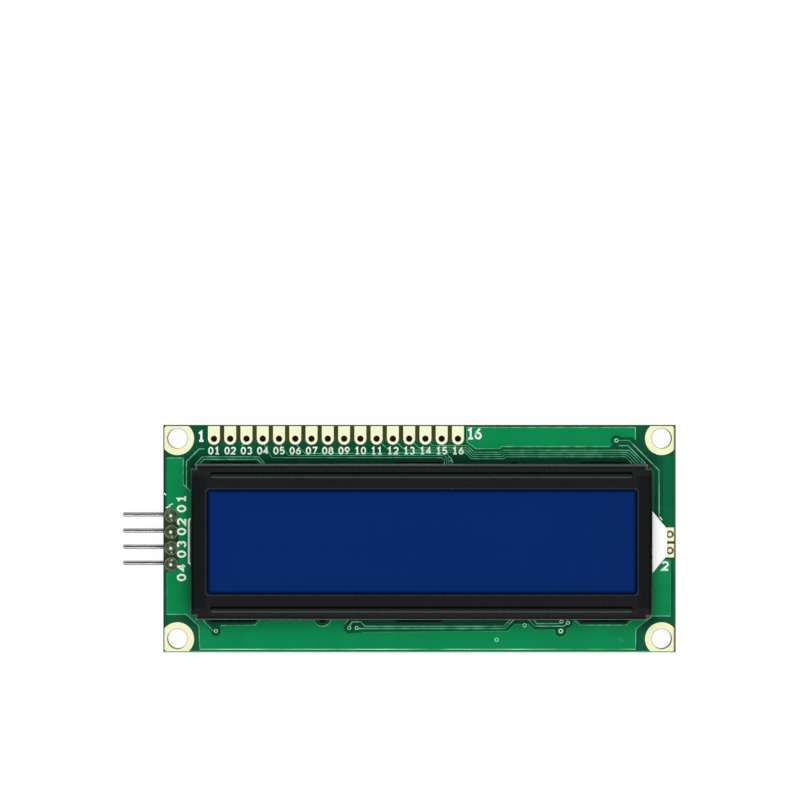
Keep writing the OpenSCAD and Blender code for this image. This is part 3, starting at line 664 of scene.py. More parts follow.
def front_film():
    """Navy film in the window, darker towards its edge under the sheet, partly a dark printed border and
    partly painted shade from the bezel's lip. The unlit dots of two rows of sixteen characters show very
    faintly."""
    material = finish("front_film", (5, 38, 99), (4, 37, 95), (0.12, 0.2), 40.0, 0.7, grain=7000.0,
                      height=0.000001, specular=0.06)
    x, y = place_on(material.node_tree)[:2]
    dots = blend(dot_rows(x, y) * 0.012, ground(material), colour(30, 80, 160))
    # Darker towards the window's edge: a dark printed border and painted shade from the bezel's lip.
    return painted(material, blend(from_window(x, y).ramp(-0.7, -0.15), dots, colour(0, 8, 30)))


def dot_rows(x, y):
    """Mask of the character dots: inside each character cell, a dot wherever both the across and the upward
    place fall in the wide part of their own step."""
    inside_all = []
    for axis, middle, cell, cells, dots in (
        (x, window_middle[0], 3.55, 16, 5),
        (y, window_middle[1], 5.95, 2, 8),
    ):
        along = axis - (middle - cell * cells / 2)
        inside = along % cell
        inside_all += [along > 0.0, along < cell * cells, inside < DOT_STEP * dots]
        inside_all.append(inside % DOT_STEP > DOT_GAP)
    mask = inside_all[0]
    for part in inside_all[1:]:
        mask = mask * part
    return mask


def clear_glass(name, tint):
    """Clear plate glass with a faint tint."""
    material = finish(name, tint, tint, (0.0, 0.03), height=0.0000005)
    give(shader_of(material)["Transmission Weight"], 0.9)
    give(shader_of(material)["IOR"], 1.5)
    return material


# Frame nodes in their finishes

def dress(node, material, rounding=0.0, limit=40.0):
    """Gives a frame node its material and, where its edges are moulded or bent, a small rounding of the
    edges that turn by more than the limit, in degrees."""
    item = frame["nodes"][node]
    item.data.materials.clear()
    item.data.materials.append(material)
    if rounding:
        weld = item.modifiers.new("merge", "WELD")
        weld.merge_threshold = 1e-6
        flat = item.modifiers.new("flats", "DECIMATE")
        flat.decimate_type = "DISSOLVE"
        flat.angle_limit = math.radians(1)
        bevel = item.modifiers.new("rounding", "BEVEL")
        bevel.width = rounding * MM
        bevel.segments = 2
        bevel.limit_method = "ANGLE"
        bevel.angle_limit = math.radians(limit)
        bevel.use_clamp_overlap = True
        bevel.harden_normals = True


dress("circuit_board", mask_over_laminate)
dress("pin_pads", pad_plating)
dress("mounting_pads", ring_plating)
dress("header_pads", stained_pad)
dress("backlight_pads", pad_plating)
dress("bezel", bezel_paint(), 0.05, 30.0)
dress("front_polarizer", front_film())
dress("front_glass", clear_glass("front_glass", (235, 244, 246)))
dress("rear_glass", clear_glass("rear_glass", (228, 238, 242)))
dress("glass_seal", seal_resin)
dress("rear_polarizer", film_grey)
dress("upper_zebra_strip", zebra_rubber)
dress("lower_zebra_strip", zebra_rubber)
dress("diffuser_film", film_white)
dress("light_guide", clear_glass("light_guide", (240, 246, 250)))
dress("reflector_film", reflector_film)
dress("backlight_housing", white_moulding, 0.08)
dress("backlight_led", lamp_resin)
dress("backlight_leads", lead_plating)
dress("backlight_solder", pad_plating)
dress("header_block", header_plastic, 0.07)
dress("header_pins", pin_plating, 0.04)
dress("header_solder", solder)
dress("display_controller_blob", blob_resin)
dress("segment_driver_blob", blob_resin)
dress("expander_chip", chip_plastic, 0.05)
dress("expander_leads", lead_plating, 0.04)
dress("trimmer_base", trimmer_plastic, 0.08)
dress("trimmer_rotor", rotor_plastic, 0.06)
dress("trimmer_terminals", lead_plating, 0.04)
dress("driver_transistor", chip_plastic, 0.04)
dress("transistor_leads", lead_plating, 0.03)
dress("resistor_bodies", resistor_glass, 0.03)
dress("capacitor_bodies", capacitor_ceramic, 0.06)
dress("chip_end_caps", bright_solder, 0.06)


# Front of the board: copper under the lacquer

COPPER = 0.04
INK = 0.03
VIA_RISE = 0.09
VIA_R = 0.17
RIM_W = 0.16
COPPER_TOP = FRONT + COPPER
RIM_TOP = FRONT + COPPER * 1.6
UNDER_BEZEL = -12.1

via_tr = (30.73, 15.33)
via_bl = (-31.8, -14.4)
via_b1 = (-10.97, -13.93)
via_b2 = (-9.83, -13.93)
via_big = (22.04, -14.41)
via_r1 = (23.17, -13.13)
via_r2 = (22.16, -12.95)

top_pour = [
    (7.36, 17.4), (33.72, 17.4), (33.72, 15.4), (33.3, 15.85), (31.5, 15.85),
    arc(via_tr, 0.85, 40, 235, 12), (29.7, 14.35), (12.86, 14.35), (12.54, 14.03), (8.78, 14.03),
    (7.36, 15.1),
]
ring_pour = [
    (-39.5, 12.65), (-39.5, -11.85), (-36.4, -11.85), (-34.5, -13.7), (-34.35, -17.27), (33.75, -17.27),
    (33.8, -14.1), (36.3, -12.1), (39.2, -12.1), (39.2, -3.2), (35.5, -3.2), (35.5, UNDER_BEZEL),
    (33.6, UNDER_BEZEL), (32.3, -13.5), (25.1, -13.5), (23.9, UNDER_BEZEL), (23.95, -13.0),
    arc(via_r1, 0.72, -10, -75, 5), arc(via_big, 1.0, 20, -190, 14), (17.9, -14.26), (17.0, -13.35),
    (14.9, -13.35), (13.8, -14.45), (-8.9, -14.62), arc(via_b2, 0.8, -75, -105, 3),
    arc(via_b1, 0.86, -80, -215, 10), (-10.9, UNDER_BEZEL), (-13.75, UNDER_BEZEL),
    arc((-15.17, -12.33), 1.36, -12, -168, 12),
    (-16.85, UNDER_BEZEL), (-24.9, UNDER_BEZEL), (-25.7, -13.5), (-31.05, -13.55),
    arc(via_bl, 0.8, 40, -130, 10), (-34.2, UNDER_BEZEL), (-35.3, UNDER_BEZEL), (-35.3, 7.0),
    (-36.87, 8.5), (-36.87, 12.65),
]
piece("copper_areas", [slab(pour, FRONT, COPPER_TOP) for pour in (top_pour, ring_pour)], mask_over_copper)
side_pour = [(38.0, 1.9), (39.6, 1.9), (39.6, 12.9), (38.0, 12.9)]
piece("side_copper_area", [slab(side_pour, FRONT, COPPER_TOP)], mask_over_dull_copper)


def front_lines(width, paths, top=RIM_TOP):
    """Raised lines of one width along paths on the front of the board."""
    return [strip(path, width, FRONT, top) for path in paths]


scallops = [arc((-16.9 - 1.36 * i, -12.62), 0.5, -20, -160, 6) for i in range(6)]
piece("copper_edges", front_lines(RIM_W, [
    [(7.4, 15.1), (7.4, 17.36), (33.7, 17.36), (33.7, 15.4)],
    [(29.7, 14.38), (12.86, 14.38), (12.54, 14.06), (8.78, 14.06), (7.4, 15.1)],
    [(-36.9, 12.6), (-39.45, 12.6)],
    [(-36.9, 12.6), (-36.9, 8.5), (-35.4, 7.0)],
    [(-39.45, -11.82), (-36.4, -11.82), (-34.45, -13.7), (-34.3, -17.14)],
    [(33.72, -17.14), (33.77, -14.1), (36.3, -12.1)],
    [(36.5, -12.08), (39.17, -12.08)],
    [(-31.05, -13.55), (-25.7, -13.5), (-24.9, -12.7)],
    arc((-15.17, -12.33), 1.36, -12, -168, 12),
    [(-11.1, -12.7), (-11.8, -13.45)],
    [(24.3, -12.8), (25.1, -13.5), (32.3, -13.5), (33.0, -12.8)],
]), thin_mask)
piece("faint_copper_edges", front_lines(RIM_W, [
    [(39.17, -12.08), (39.17, -3.4)],
    [(-39.45, -11.82), (-39.45, -5.4)],
    [(-8.9, -14.62), (13.8, -14.45), (14.9, -13.35), (17.0, -13.35), (17.9, -14.26), (20.9, -14.26)],
    arc(via_big, 1.0, 10, -190, 16),
]) + front_lines(0.13, [line(*scallops)]), faint_mask)
piece("bottom_copper_edge", front_lines(0.14, [[(-34.3, -17.27), (33.72, -17.27)]]), bright_edge)

TRACK_W = 0.19
BUS_W = 0.13
PAD_PITCH = 2.54
pad_x = [-32.1 + PAD_PITCH * i for i in range(16)]

track_runs = [
    [(-33.6, 14.05), (-34.4, 14.0), (-36.4, 12.05), (-36.4, 8.1), (-35.7, 7.35), (-35.5, 7.0)],
    [(-35.1, 11.5), (-33.9, 12.78), (-25.1, 12.78), (-24.1, 11.6)],
    [(-34.6, 11.5), (-33.65, 12.38), (-25.3, 12.38), (-24.6, 11.6)],
    [(-27.5, 14.8), (-27.75, 14.5)],
    [(16.8, -12.4), (18.0, -13.65), (22.5, -13.65), (23.0, -13.3)],
    [(17.6, -12.4), (18.3, -13.25), (21.7, -13.25), (22.0, -13.1)],
    [(via_tr[0] + 0.35, via_tr[1]), (32.72, 15.33), (37.4, 10.65), (37.4, 3.2)],
    [(4.2, 13.3), (4.95, 12.5), (4.7, 12.05), (5.1, 12.2), (5.15, 11.6)],
    [(-33.95, -12.5), (-32.3, -14.35), (via_bl[0] - 0.3, via_bl[1])],
    [(via_b1[0], via_b1[1] + 0.3), (-10.5, -12.98), (-9.2, -12.98), (-8.5, -13.68), (13.15, -13.68),
     (14.3, -12.5)],
    [(via_b2[0] + 0.32, via_b2[1] - 0.1), (13.3, -14.03), (14.9, -12.5)],
]
bus_runs = []
for i, level in enumerate((12.65, 13.0, 13.32)):
    pad = pad_x[3 + i]
    stop = 3.55 + 0.3 * i
    bus_runs.append([(pad + 0.25, 14.6), (pad + 1.2, level + 0.35), (pad + 1.5, level), (stop, level),
                     (stop + 0.33, level - 0.35), (stop + 0.33, 11.5)])
BUS_LINES = 4
BUS_PITCH = 0.34
for i in range(BUS_LINES):
    pad = pad_x[13 - i]
    near = 14.53 - 0.35 * i
    mid = 13.5 - BUS_PITCH * i
    far = 13.8 - BUS_PITCH * i
    turn = 7.5 - 0.14 * i
    rise = 12.7 + 0.14 * i
    fall = 32.75 - 0.2 * i
    bus_runs.append([(pad + 0.62, 15.05), (pad + 1.17 + 14.5 - near, near), (turn, near),
                     (turn + near - mid, mid), (rise, mid), (rise + far - mid, far), (fall, far),
                     (fall + far - 11.5, 11.5)])
edge_run = [(31.1, 14.52), (32.56, 14.52), (35.3, 11.7)]
side_run = [(36.54, 10.6), (36.54, 4.4)]
tracks = front_lines(TRACK_W, track_runs) + front_lines(BUS_W, bus_runs)
piece("front_tracks", tracks + front_lines(0.16, [edge_run], COPPER_TOP), thin_mask)
piece("faint_front_track", front_lines(0.18, [side_run], COPPER_TOP), mask_over_copper)

small_vias = [via_tr, via_bl, via_b1, via_b2, via_r1, via_r2, (16.4, -13.52), (12.03, -15.79)]
vias = [ring(place, VIA_R, 0.31, FRONT, FRONT + VIA_RISE) for place in small_vias]
vias.append(ring(via_big, 0.18, 0.38, FRONT, FRONT + 0.1))
piece("front_vias", vias, via_rim)
covered_via = ring((31.53, -15.8), 0.16, 0.38, COPPER_TOP - 0.01, COPPER_TOP + INK)
piece("covered_front_via", [covered_via], faint_mask)
cores = [turned([(0, FRONT), (0.18, FRONT), (0.18, FRONT + 0.06), (0, FRONT + 0.055)], place, 16)
         for place in small_vias + [via_big]]
piece("via_cores", cores, via_core)

# Openings in the lacquer

OPENING_LOW = 15.2
PAD_REACH = 0.98
opening_top = board_high[1] - 0.02
gaps_between_pads = []
for x in pad_x[:-1]:
    left = x + PAD_REACH
    right = x + PAD_PITCH - PAD_REACH
    gap = [(left, OPENING_LOW), (right, OPENING_LOW), (right, opening_top), (left, opening_top)]
    gaps_between_pads.append(slab(gap, FRONT, FRONT + 0.012, 0.004))
stained = [(-39.95, -5.2), (-38.7, -5.2), arc((-38.7, -4.1), 1.1, -80, 0, 6),
           arc((-38.4, 3.65), 0.8, 0, 90, 5), (-39.95, 4.45)]
piece("stained_laminate_strip", [slab(stained, FRONT, FRONT + 0.048, 0.005)], stained_laminate)
lamp_y = node_middle("backlight_pads")[1]
lamp_gap = [(38.4, lamp_y - 2.45), (39.95, lamp_y - 2.45), (39.95, lamp_y + 2.42), (38.4, lamp_y + 2.42)]
bare_gaps = gaps_between_pads + [slab(lamp_gap, FRONT, FRONT + 0.045, 0.005)]
piece("bare_laminate_strips", bare_gaps, bare_laminate)
lamp_hole_x = node_middle("backlight_solder")[0]
lamp_holes = [(lamp_hole_x, lamp_y - PAD_PITCH / 2), (lamp_hole_x, lamp_y + PAD_PITCH / 2)]
hole_rims = [ring(hole, 0.42, 0.6, FRONT + 0.04, FRONT + 0.09) for hole in lamp_holes]
piece("lamp_hole_rims", hole_rims, flux_ring)

# Plain numbers and marks

STROKES = {
    "0": [[arc((0, 0), 1, 90, 450, 21) * (0.24, 0.43) + (0.3, 0.5)]],
    "1": [[(0.1, 0.76), (0.32, 0.93), (0.32, 0.08)], [(0.1, 0.08), (0.54, 0.08)]],
    "2": [[arc((0.3, 0.68), 0.24, 165, -35, 9), (0.08, 0.08), (0.56, 0.08)]],
    "3": [[arc((0.28, 0.71), 0.22, 150, -75, 9)], [arc((0.28, 0.3), 0.24, 80, -150, 10)]],
    "4": [[(0.42, 0.07), (0.42, 0.93), (0.06, 0.33), (0.58, 0.33)]],
    "5": [[(0.52, 0.92), (0.14, 0.92), (0.11, 0.54), arc((0.28, 0.33), 0.25, 110, -145, 10)]],
    "6": [[(0.46, 0.93), (0.2, 0.66), arc((0.3, 0.32), 0.24, 170, 530, 18)]],
    "7": [[(0.06, 0.92), (0.55, 0.92), (0.22, 0.07)]],
    "8": [[arc((0.3, 0.71), 0.19, 90, 450, 16)], [arc((0.3, 0.29), 0.24, 90, 450, 18)]],
    "9": [[(0.14, 0.07), (0.4, 0.34), arc((0.3, 0.68), 0.24, -10, 350, 18)]],
    "-": [[(0.08, 0.5), (0.52, 0.5)]],
    "+": [[(0.08, 0.5), (0.52, 0.5)], [(0.3, 0.26), (0.3, 0.74)]],
}


def number(text, place, height, pen, widen=1.0, space=0.14, quarter_turns=0, low=FRONT, thick=INK,
           mirror=1):
    """Strokes of a number: each stroke in its own cell, scaled to the height, set in a row centred on the
    place and turned by quarter turns."""
    pitch = (0.6 + space) * height * widen
    start = -pitch * (len(text) - 1) / 2 - 0.3 * height * widen
    turn = math.radians(90 * quarter_turns)
    spin = np.array([[math.cos(turn), math.sin(turn)], [-math.sin(turn), math.cos(turn)]])
    shapes = []
    for i, sign in enumerate(text):
        for stroke in STROKES[sign]:
            flat = line(*stroke) * (height * widen, height) + (start + i * pitch, -height / 2)
            flat = flat * (mirror, 1) @ spin + np.asarray(place)
            shapes.append(strip(flat, pen, low, low + thick))
    return shapes


marks = number("1", (-34.1, 15.97), 1.65, 0.34, widen=0.95)
marks += number("16", (8.55, 16.4), 1.8, 0.3, widen=0.95, space=0.1, low=COPPER_TOP)
for i, x in enumerate(pad_x):
    marks += number(f"{i + 1:02d}", (x, 13.74), 1.16, 0.24, widen=1.08, space=0.18, low=FRONT + 0.05)
for text, middle in zip(("01", "02", "03", "04"), (5.45, 1.87, -1.65, -5.3)):
    marks += number(text, (-37.16, middle), 1.36, 0.31, widen=1.3, space=0.26, quarter_turns=1,
                    low=COPPER_TOP)
marks += number("2", (38.35, -4.25), 1.42, 0.31, widen=1.25, low=COPPER_TOP)
for pen, path in (
    (0.32, [(-35.7, 3.14), (-36.02, 2.9), (-36.02, -3.8), (-35.7, -4.0)]),
    (0.2, [(-39.87, 7.13), (-39.6, 6.8)]),
    (0.2, [(-39.6, 4.8), (-38.9, 5.1)]),
    (0.16, [(-39.15, 5.2), (-38.5, 5.45)]),
    (0.22, [(37.5, 3.4), (37.87, 2.9)]),
):
    marks += front_lines(pen, [path], COPPER_TOP + INK)
piece("front_numbers", marks, legend_ink)

# Solder on the front

def fillet(centre, reach, low, high, neck, tip):
    """A solder joint: its side is a quarter circle from the pad's rim up to a neck, and a low dome covers
    the end of the leg."""
    sweep = np.radians(np.linspace(0, 90, 9))
    side_r = neck + (reach - neck) * (1 - np.sin(sweep))
    side_z = low + (high - low) * (1 - np.cos(sweep))
    cap = np.linspace(0, 1, 5)[1:]
    cap_r = neck * np.cos(cap * np.pi / 2)
    cap_z = high + tip * np.sin(cap * np.pi / 2)
    profile = np.column_stack([np.concatenate([[0], side_r, cap_r]), np.concatenate([[low], side_z, cap_z])])
    return turned(profile, centre, 40)


leg_y = [leg_row_middle + LEG_PITCH * (i - 1.5) for i in range(4)]
joints = [fillet((leg_x, y), 1.07, FRONT + 0.045, pins_high[2] - 0.25, 0.42, 0.3) for y in leg_y]
piece("header_joints", joints, solder, replaces=["header_solder"])


# Back of the board

BACK_COPPER = BACK - COPPER
BACK_RIM = BACK - COPPER * 1.6
BACK_INK = BACK - 0.07
PAD_BOTTOM = BACK - 0.05
HEAP_BOTTOM = BACK - 0.16

chip_low, chip_high = node_box("expander_leads")
left_x = chip_low[0]
right_x = chip_high[0]
chip_middle = (chip_low + chip_high) / 2
CHIP_LEADS = 8
LEAD_PITCH = 1.27
lead_y = [chip_middle[1] + LEAD_PITCH * (i - (CHIP_LEADS - 1) / 2) for i in range(CHIP_LEADS)]
left_blob = node_middle("display_controller_blob")
right_blob = node_middle("segment_driver_blob")
BLOB_R = node_half("segment_driver_blob")[0]

lead_feet = [(x, y) for x in (left_x + 0.45, right_x - 0.45) for y in lead_y]
resistors = [(-25.5, -8.2), (-25.5, -6.2), (-30.2, -8.2), (-9.2, 4.2), (-9.2, 6.2)]
capacitors = [(-19.5, -8.0), (-9.2, -4.6), (15.8, 7.8)]
trimmer_feet = [(-30.0, 1.15), (-31.2, 6.45), (-28.8, 6.45)]
transistor_feet = [(-28.85, -4.35), (-28.85, -2.45), (-31.15, -3.4)]
chip_ends = [(x + side * 1.05, y) for x, y in resistors + capacitors for side in (-1, 1)]


def rectangle(middle, width, height):
    """Four corners of a rectangle about its middle."""
    return np.asarray(middle) + np.array([(-1, -1), (1, -1), (1, 1), (-1, 1)]) * (width / 2, height / 2)


def part_pads():
    """Tinned pads under the feet of the parts on the back, and a low heap of solder on each."""
    shapes = []
    for places, width, height, share in (
        (lead_feet, 1.5, 0.62, 0.6),
        (trimmer_feet, 1.3, 1.7, 0.9),
        (transistor_feet, 1.0, 0.75, 0.6),
        (chip_ends, 0.95, 1.45, 0.7),
    ):
        for place in places:
            shapes.append(slab(rectangle(place, width, height), BACK, PAD_BOTTOM, 0.02))
            shapes.append(slab(rectangle(place, width * share, height * 0.84), BACK, HEAP_BOTTOM, 0.1))
    return shapes


piece("part_pads", part_pads(), tin_solder)

back_areas = [
    [(-34.4, -17.27), (34.4, -17.27), (34.4, -14.9), (33.0, -13.5), (-33.0, -13.5), (-34.4, -14.9)],
    [(32.9, -11.9), (39.3, -11.9), (39.3, -3.5), (36.6, -3.5), (35.4, -4.7), (32.9, -4.7)],
    [(32.9, 3.4), (36.4, 3.4), (37.0, 2.6), (39.3, 2.6), (39.3, 12.3), (34.4, 12.3), (32.9, 10.8)],
    [(-39.4, 6.2), (-36.4, 6.2), (-36.4, 12.6), (-39.4, 12.6)],
    [(-39.4, -12.3), (-36.2, -12.3), (-36.2, -6.4), (-39.4, -6.4)],
    [(8.4, 17.3), (33.6, 17.3), (33.6, 13.3), (9.7, 13.3), (8.4, 14.6)],
    [(-6.0, -9.3), (-2.0, -9.3), (-2.0, -4.9), (-1.1, -4.0), (-1.1, 3.5), (-2.0, 4.4), (-2.0, 8.9),
     (-6.0, 8.9)],
]
piece("back_copper_areas", [slab(area, BACK, BACK_COPPER) for area in back_areas], mask_over_copper)
piece("back_copper_edges", [strip(area, RIM_W, BACK, BACK_RIM, True) for area in back_areas], thin_mask)


FAN_TRACKS = 11
FAN_PITCH = 1.05
UNDER_RESIN = 0.62


def fan(middle, side):
    """Tracks that leave a blob upwards or downwards: each starts under the resin, spreads by its place in
    the row and ends at a via, every other one a little further out."""
    paths = []
    ends = []
    for i in range(FAN_TRACKS):
        across = (i - (FAN_TRACKS - 1) / 2) * FAN_PITCH
        start = math.sqrt(max(BLOB_R ** 2 - (UNDER_RESIN * across) ** 2, 0.0)) - 0.4
        end = BLOB_R + 2.1 + 0.75 * (i % 2)
        x = middle[0] + across
        paths.append([(middle[0] + UNDER_RESIN * across, middle[1] + side * start),
                      (x, middle[1] + side * (BLOB_R + 1.0)), (x, middle[1] + side * end)])
        ends.append((x, middle[1] + side * (end + 0.3)))
    return paths, ends


back_runs = []
back_vias = []
for middle, side in ((left_blob, -1), (right_blob, -1), (right_blob, 1)):
    runs, ends = fan(middle, side)
    back_runs += runs
    back_vias += ends
data_y = [left_blob[1] + 0.72 * (i - 3.5) for i in range(8)]
back_runs += [[(left_blob[0] + BLOB_R - 0.8, y), (right_blob[0] - BLOB_R + 0.8, y)] for y in data_y]
for i in range(8):
    x = pad_x[13 - i]
    level = 12.35 + 0.22 * i
    drop = 7.75 - 0.45 * i
    if x <= drop - 1:
        back_runs.append([(x, 14.9), (x, level + 0.3), (x + 0.3, level), (drop - 0.3, level),
                          (drop, level - 0.3), (drop, left_blob[1] + BLOB_R - 0.5)])
edge_x = right_blob[0] + BLOB_R
for i in range(6):
    y = right_blob[1] + 0.9 * (i - 2.5)
    reach = edge_x + 1.1 + 0.75 * (i % 2)
    back_runs.append([(edge_x - 0.6, y), (reach, y)])
    back_vias.append((reach + 0.3, y))
for i in range(4):
    y = lead_y[4 + i]
    out = left_x - 1.0 - 0.85 * (3 - i)
    back_runs.append([(left_x + 0.3, y), (out + 0.4, y), (out, y + 0.4), (out, 8.1)])
    back_vias.append((out, 8.4))
power_runs = [
    [(-37.6, 3.61), (-36.0, 3.61), (-34.6, 5.0), (-34.6, 7.3), (-33.8, 8.1), (-31.9, 8.1), (-31.2, 7.4),
     (-31.2, 6.6)],
    [(-37.6, -4.01), (-36.0, -4.01), (-34.6, -5.4), (-34.6, -7.4), (-33.8, -8.2), (-31.3, -8.2)],
]
back_runs += [
    [(-37.6, 1.07), (-36.6, 1.07), (-35.6, 0.07), (-24.6, 0.07), (-23.6, -0.91), (left_x + 0.3, -0.91)],
    [(-37.6, -1.47), (-36.4, -1.47), (-35.7, -0.77), (-25.1, -0.77), (-23.7, -2.18), (left_x + 0.3, -2.18)],
    [(-31.2, -3.4), (-33.0, -3.4)],
    [(-28.8, -4.35), (-27.7, -4.35), (-27.0, -5.05), (-27.0, -6.2), (-26.5, -6.2)],
    [(-28.8, -2.45), (-26.6, -2.45)],
    [(-29.2, -8.2), (-26.5, -8.2)],
    [(-24.5, -8.2), (-23.6, -8.2), (-23.2, -7.8), (-23.2, -3.9), (-22.8, -3.45), (left_x + 0.3, -3.45)],
    [(-24.5, -6.2), (-24.0, -6.2), (-23.8, -6.0), (-23.8, -5.0)],
    [(-20.5, -8.0), (-21.6, -8.0)],
    [(-18.5, -8.0), (-17.6, -8.0), (-17.0, -7.4), (-17.0, -6.2)],
    [(-10.2, -4.6), (-11.2, -4.6), (-11.6, -4.2), (-11.6, -3.45), (right_x - 0.3, -3.45)],
    [(-8.2, -4.6), (-7.6, -5.2), (-7.6, -6.3)],
    [(right_x - 0.3, lead_y[6]), (-10.2, lead_y[6])],
    [(right_x - 0.3, lead_y[7]), (-11.2, lead_y[7]), (-10.6, 6.1), (-10.2, 6.2)],
    [(-8.2, 4.2), (-7.5, 4.2), (-7.1, 4.6), (-7.1, 8.2)],
    [(-8.2, 6.2), (-7.9, 6.5), (-7.9, 8.9)],
    [(14.8, 7.8), (13.9, 7.8), (11.6, 5.5), (10.9, 4.5)],
    [(16.8, 7.8), (17.7, 7.8), (19.9, 5.6), (20.6, 4.5)],
]
for i in range(1, 6):
    reach = right_x + 0.7 + 0.3 * (i % 2)
    back_runs.append([(right_x - 0.3, lead_y[i]), (reach, lead_y[i])])
    back_vias.append((reach + 0.3, lead_y[i]))
back_vias += [(-33.3, -3.4), (-26.3, -2.45), (-23.8, -4.7), (-21.9, -8.0), (-17.0, -5.9), (-7.6, -6.6),
              (-7.1, 8.5), (-7.9, 9.2), (36.6, -7.6), (-15.0, -15.5), (-2.0, -15.3), (11.0, -15.6),
              (24.0, -15.4), (30.0, 15.4)]
back_tracks = [strip(path, 0.2, BACK, BACK_RIM) for path in back_runs]
back_tracks += [strip(path, 0.7, BACK, BACK_COPPER) for path in power_runs]
piece("back_tracks", back_tracks, mask_over_copper)
piece("back_vias", [ring(place, VIA_R, 0.36, BACK, BACK - VIA_RISE, 20) for place in back_vias], via_rim)
core = [(0, BACK), (0.2, BACK), (0.2, BACK - 0.05), (0, BACK - 0.045)]
piece("back_via_cores", [turned(core, place, 12) for place in back_vias], via_core)


def back_number(text, place, height, pen):
    """A number on the back, turned over so that it reads from behind."""
    return number(text, place, height, pen, low=BACK, thick=BACK_INK - BACK, mirror=-1)


def frame_lines(middle, width, height):
    """A printed frame round a part."""
    return strip(rectangle(middle, width, height), 0.18, BACK, BACK_INK, True)


back_marks = []
for blob in (left_blob, right_blob):
    back_marks.append(ring(blob, BLOB_R + 0.45, BLOB_R + 0.65, BACK, BACK_INK, 64))
back_marks.append(frame_lines(chip_middle[:2], 6.9, 11.6))
back_marks.append(frame_lines((-30.0, 3.8), 5.3, 8.0))
back_marks.append(frame_lines((-30.0, -3.4), 4.0, 4.1))
for x, y in resistors + capacitors:
    for side in (-1, 1):
        near = x + side * 1.2
        far = x + side * 1.75
        bracket = [(near, y - 0.9), (far, y - 0.9), (far, y + 0.9), (near, y + 0.9)]
        back_marks.append(strip(bracket, 0.15, BACK, BACK_INK))
back_marks.append(ring((chip_middle[0] + 2.6, lead_y[-1]), 0.2, 0.45, BACK, BACK_INK, 20))
back_marks += back_number("1", (-34.2, 16.0), 1.5, 0.26)
back_marks += back_number("16", (8.6, 16.4), 1.5, 0.26)
for i, y in enumerate(reversed(leg_y)):
    back_marks += back_number(str(i + 1), (-36.2, y), 1.1, 0.2)
for i, (x, y) in enumerate(resistors):
    back_marks += back_number(str(i + 1), (x + (2.6 if x > -28 else -2.6), y), 1.0, 0.17)
for i, (x, y) in enumerate(capacitors):
    back_marks += back_number(str(i + 6), (x, y + 1.75), 1.0, 0.17)
back_marks += back_number("+", (35.9, 0.68), 1.3, 0.22)
back_marks += back_number("-", (35.9, -1.86), 1.3, 0.22)
piece("back_numbers", back_marks, legend_ink)


# Stage: floor, light and camera

def mixed(share, first, second):
    """Shader that goes from the first to the second with the share."""
    made = add(share.tree, "ShaderNodeMixShader")
    for socket, value in zip(made.inputs, (share, first.outputs[0], second.outputs[0])):
        give(socket, value)
    return made


def rays(tree, *kinds):
    """Masks of the rays of some kinds."""
    seen = add(tree, "ShaderNodeLightPath")
    return [Field(seen.outputs[f"Is {kind} Ray"]) for kind in kinds]


def floor_material():
    """Pale floor. What looks at it directly or in a reflection sees it near white, and mirror images find
    it darker to the left and right of the module. Under the board, up to rounded corners, its colour is
    painted dark as the board's shadow. From below it is clear, so that the back can be looked at too, and
    under the board mirror images see through it."""
    material = bpy.data.materials.new("pale_floor")
    material.use_nodes = True
    tree = material.node_tree
    tree.nodes.remove(tree.nodes["Principled BSDF"])
    x, y = place_on(tree)[:2]
    camera_ray, glossy_ray, glass_ray, shadow_ray = rays(tree, "Camera", "Glossy", "Transmission", "Shadow")
    # Painted shadow: under the board, up to rounded corners, the floor's colour goes dark, darkest under the
    # bezel.
    under = box_distance(x, y, (0, 0), board_high, 11.0).ramp(-1.3, 0.0, 1.0, 0.0)
    deep = blend(from_bezel(x, y).ramp(0.8, 1.8), colour(6, 8, 5), colour(62, 48, 26))
    diffuse = add(tree, "ShaderNodeBsdfDiffuse")
    give(diffuse.inputs["Color"], blend(under, colour(252, 252, 252), deep))
    glow = add(tree, "ShaderNodeEmission")
    give(glow.inputs["Strength"], 1.0 - glossy_ray * abs(y).ramp(12.0, 30.0, 0.85, 0.0))
    direct = camera_ray.larger(glossy_ray).larger(glass_ray)
    lit = mixed(direct * under.ramp(0.0, 1.0, 0.95, 0.0), diffuse, glow)
    from_below = Field(add(tree, "ShaderNodeNewGeometry").outputs["Backfacing"])
    clear = from_below.larger(shadow_ray).larger(glossy_ray * under)
    two_sided = mixed(clear, lit, add(tree, "ShaderNodeBsdfTransparent"))
    give(tree.nodes["Material Output"].inputs["Surface"], two_sided.outputs[0])
    return material


FLOOR_W = 3000.0
floor_mesh = bpy.data.meshes.new("floor")
corners = np.column_stack([rectangle((0, 0), FLOOR_W, FLOOR_W), np.full(4, FLOOR)])
floor_mesh.from_pydata((corners * MM).tolist(), [], [[0, 1, 2, 3]])
floor_mesh.materials.append(floor_material())
floor = bpy.data.objects.new("floor", floor_mesh)
bpy.context.scene.collection.objects.link(floor)


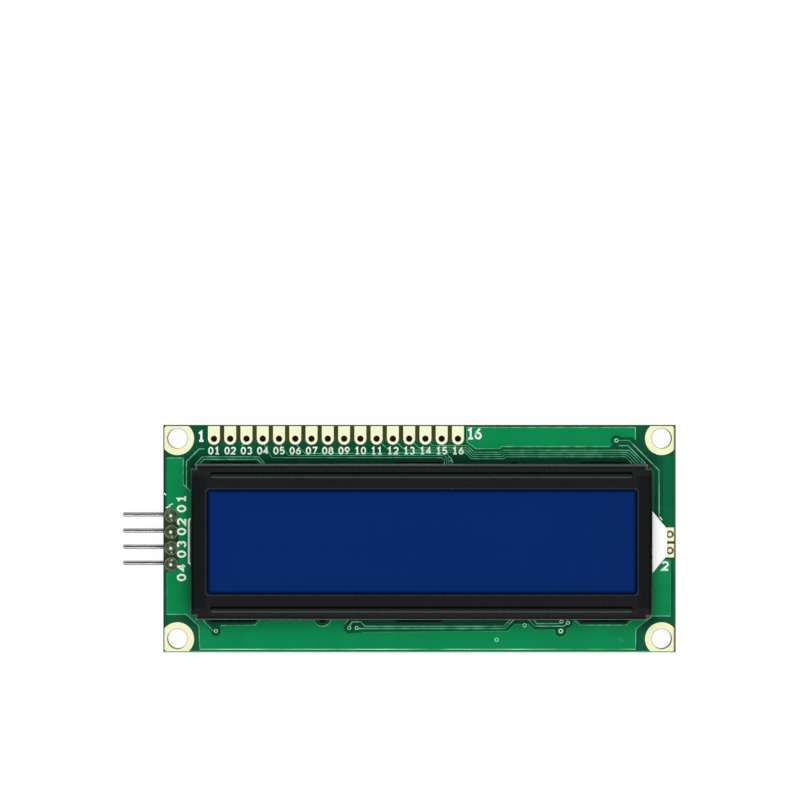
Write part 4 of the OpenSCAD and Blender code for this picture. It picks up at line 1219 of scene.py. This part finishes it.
def studio_world():
    """White to the camera, and an even soft level for the light itself. Mirror images find a room: a grey
    ceiling, dark walls, and a bright window low in the wall towards +Y. The back finds a second window,
    further down towards -Y."""
    world = bpy.data.worlds.new("studio")
    bpy.context.scene.world = world
    world.use_nodes = True
    tree = world.node_tree
    plain = tree.nodes["Background"]
    give(plain.inputs["Color"], (1, 1, 1, 1))
    give(plain.inputs["Strength"], 1.0)
    y, z = axes(coordinates(tree, "Generated"))[1:]
    camera_ray, glossy_ray = rays(tree, "Camera", "Glossy")
    ceiling = z.ramp(0.85, 0.96, 0.03, 0.22)
    window = y.ramp(0.5, 0.8) * z.ramp(0.4, 0.6, 1.6, 0.0) * z.ramp(-0.5, -0.4)
    second = y.ramp(-0.35, -0.2, 1.0, 0.0) * z.ramp(-0.93, -0.86) * z.ramp(-0.66, -0.56, 1.3, 0.0)
    room = add(tree, "ShaderNodeBackground")
    give(room.inputs["Strength"], glossy_ray.ramp(0.0, 1.0, 0.22, ceiling + window + second))
    give(tree.nodes["World Output"].inputs["Surface"], mixed(camera_ray, room, plain).outputs[0])


studio_world()


def softbox(name, place, size, power):
    """A soft area light that faces the module. It lights without a mirror image of its own: what shines is
    the room. The camera doesn't see it either."""
    data = bpy.data.lights.new(name, "AREA")
    data.energy = power
    data.shape = "RECTANGLE"
    data.size, data.size_y = size
    made = bpy.data.objects.new(name, data)
    bpy.context.scene.collection.objects.link(made)
    made.location = place
    made.visible_glossy = False
    made.visible_camera = False
    x, y, z = place
    made.rotation_euler = (math.atan2(math.hypot(x, y), z), 0, math.atan2(y, x) + math.pi / 2)


softbox("key_light", (-0.05, 0.2, 0.66), (0.3, 0.2), 1.55)
softbox("fill_light", (0.05, -0.2, 0.66), (0.3, 0.2), 1.75)
softbox("right_light", (0.22, 0.0, 0.66), (0.2, 0.3), 0.95)
softbox("left_light", (-0.2, 0.0, 0.66), (0.2, 0.3), 0.45)
softbox("under_light", (0.0, 0.05, -0.6), (0.6, 0.4), 3.0)

CAMERA_PLACE = (-0.00305, 0.02165, 0.5016)
LENS = 144.1
camera_data = bpy.data.cameras.new("camera")
camera_data.lens = LENS
camera_data.sensor_width = 36
camera_data.clip_start = 0.01
camera = bpy.data.objects.new("camera", camera_data)
camera.location = CAMERA_PLACE
bpy.context.scene.collection.objects.link(camera)
bpy.context.scene.camera = camera

bpy.context.scene.view_settings.view_transform = "Standard"
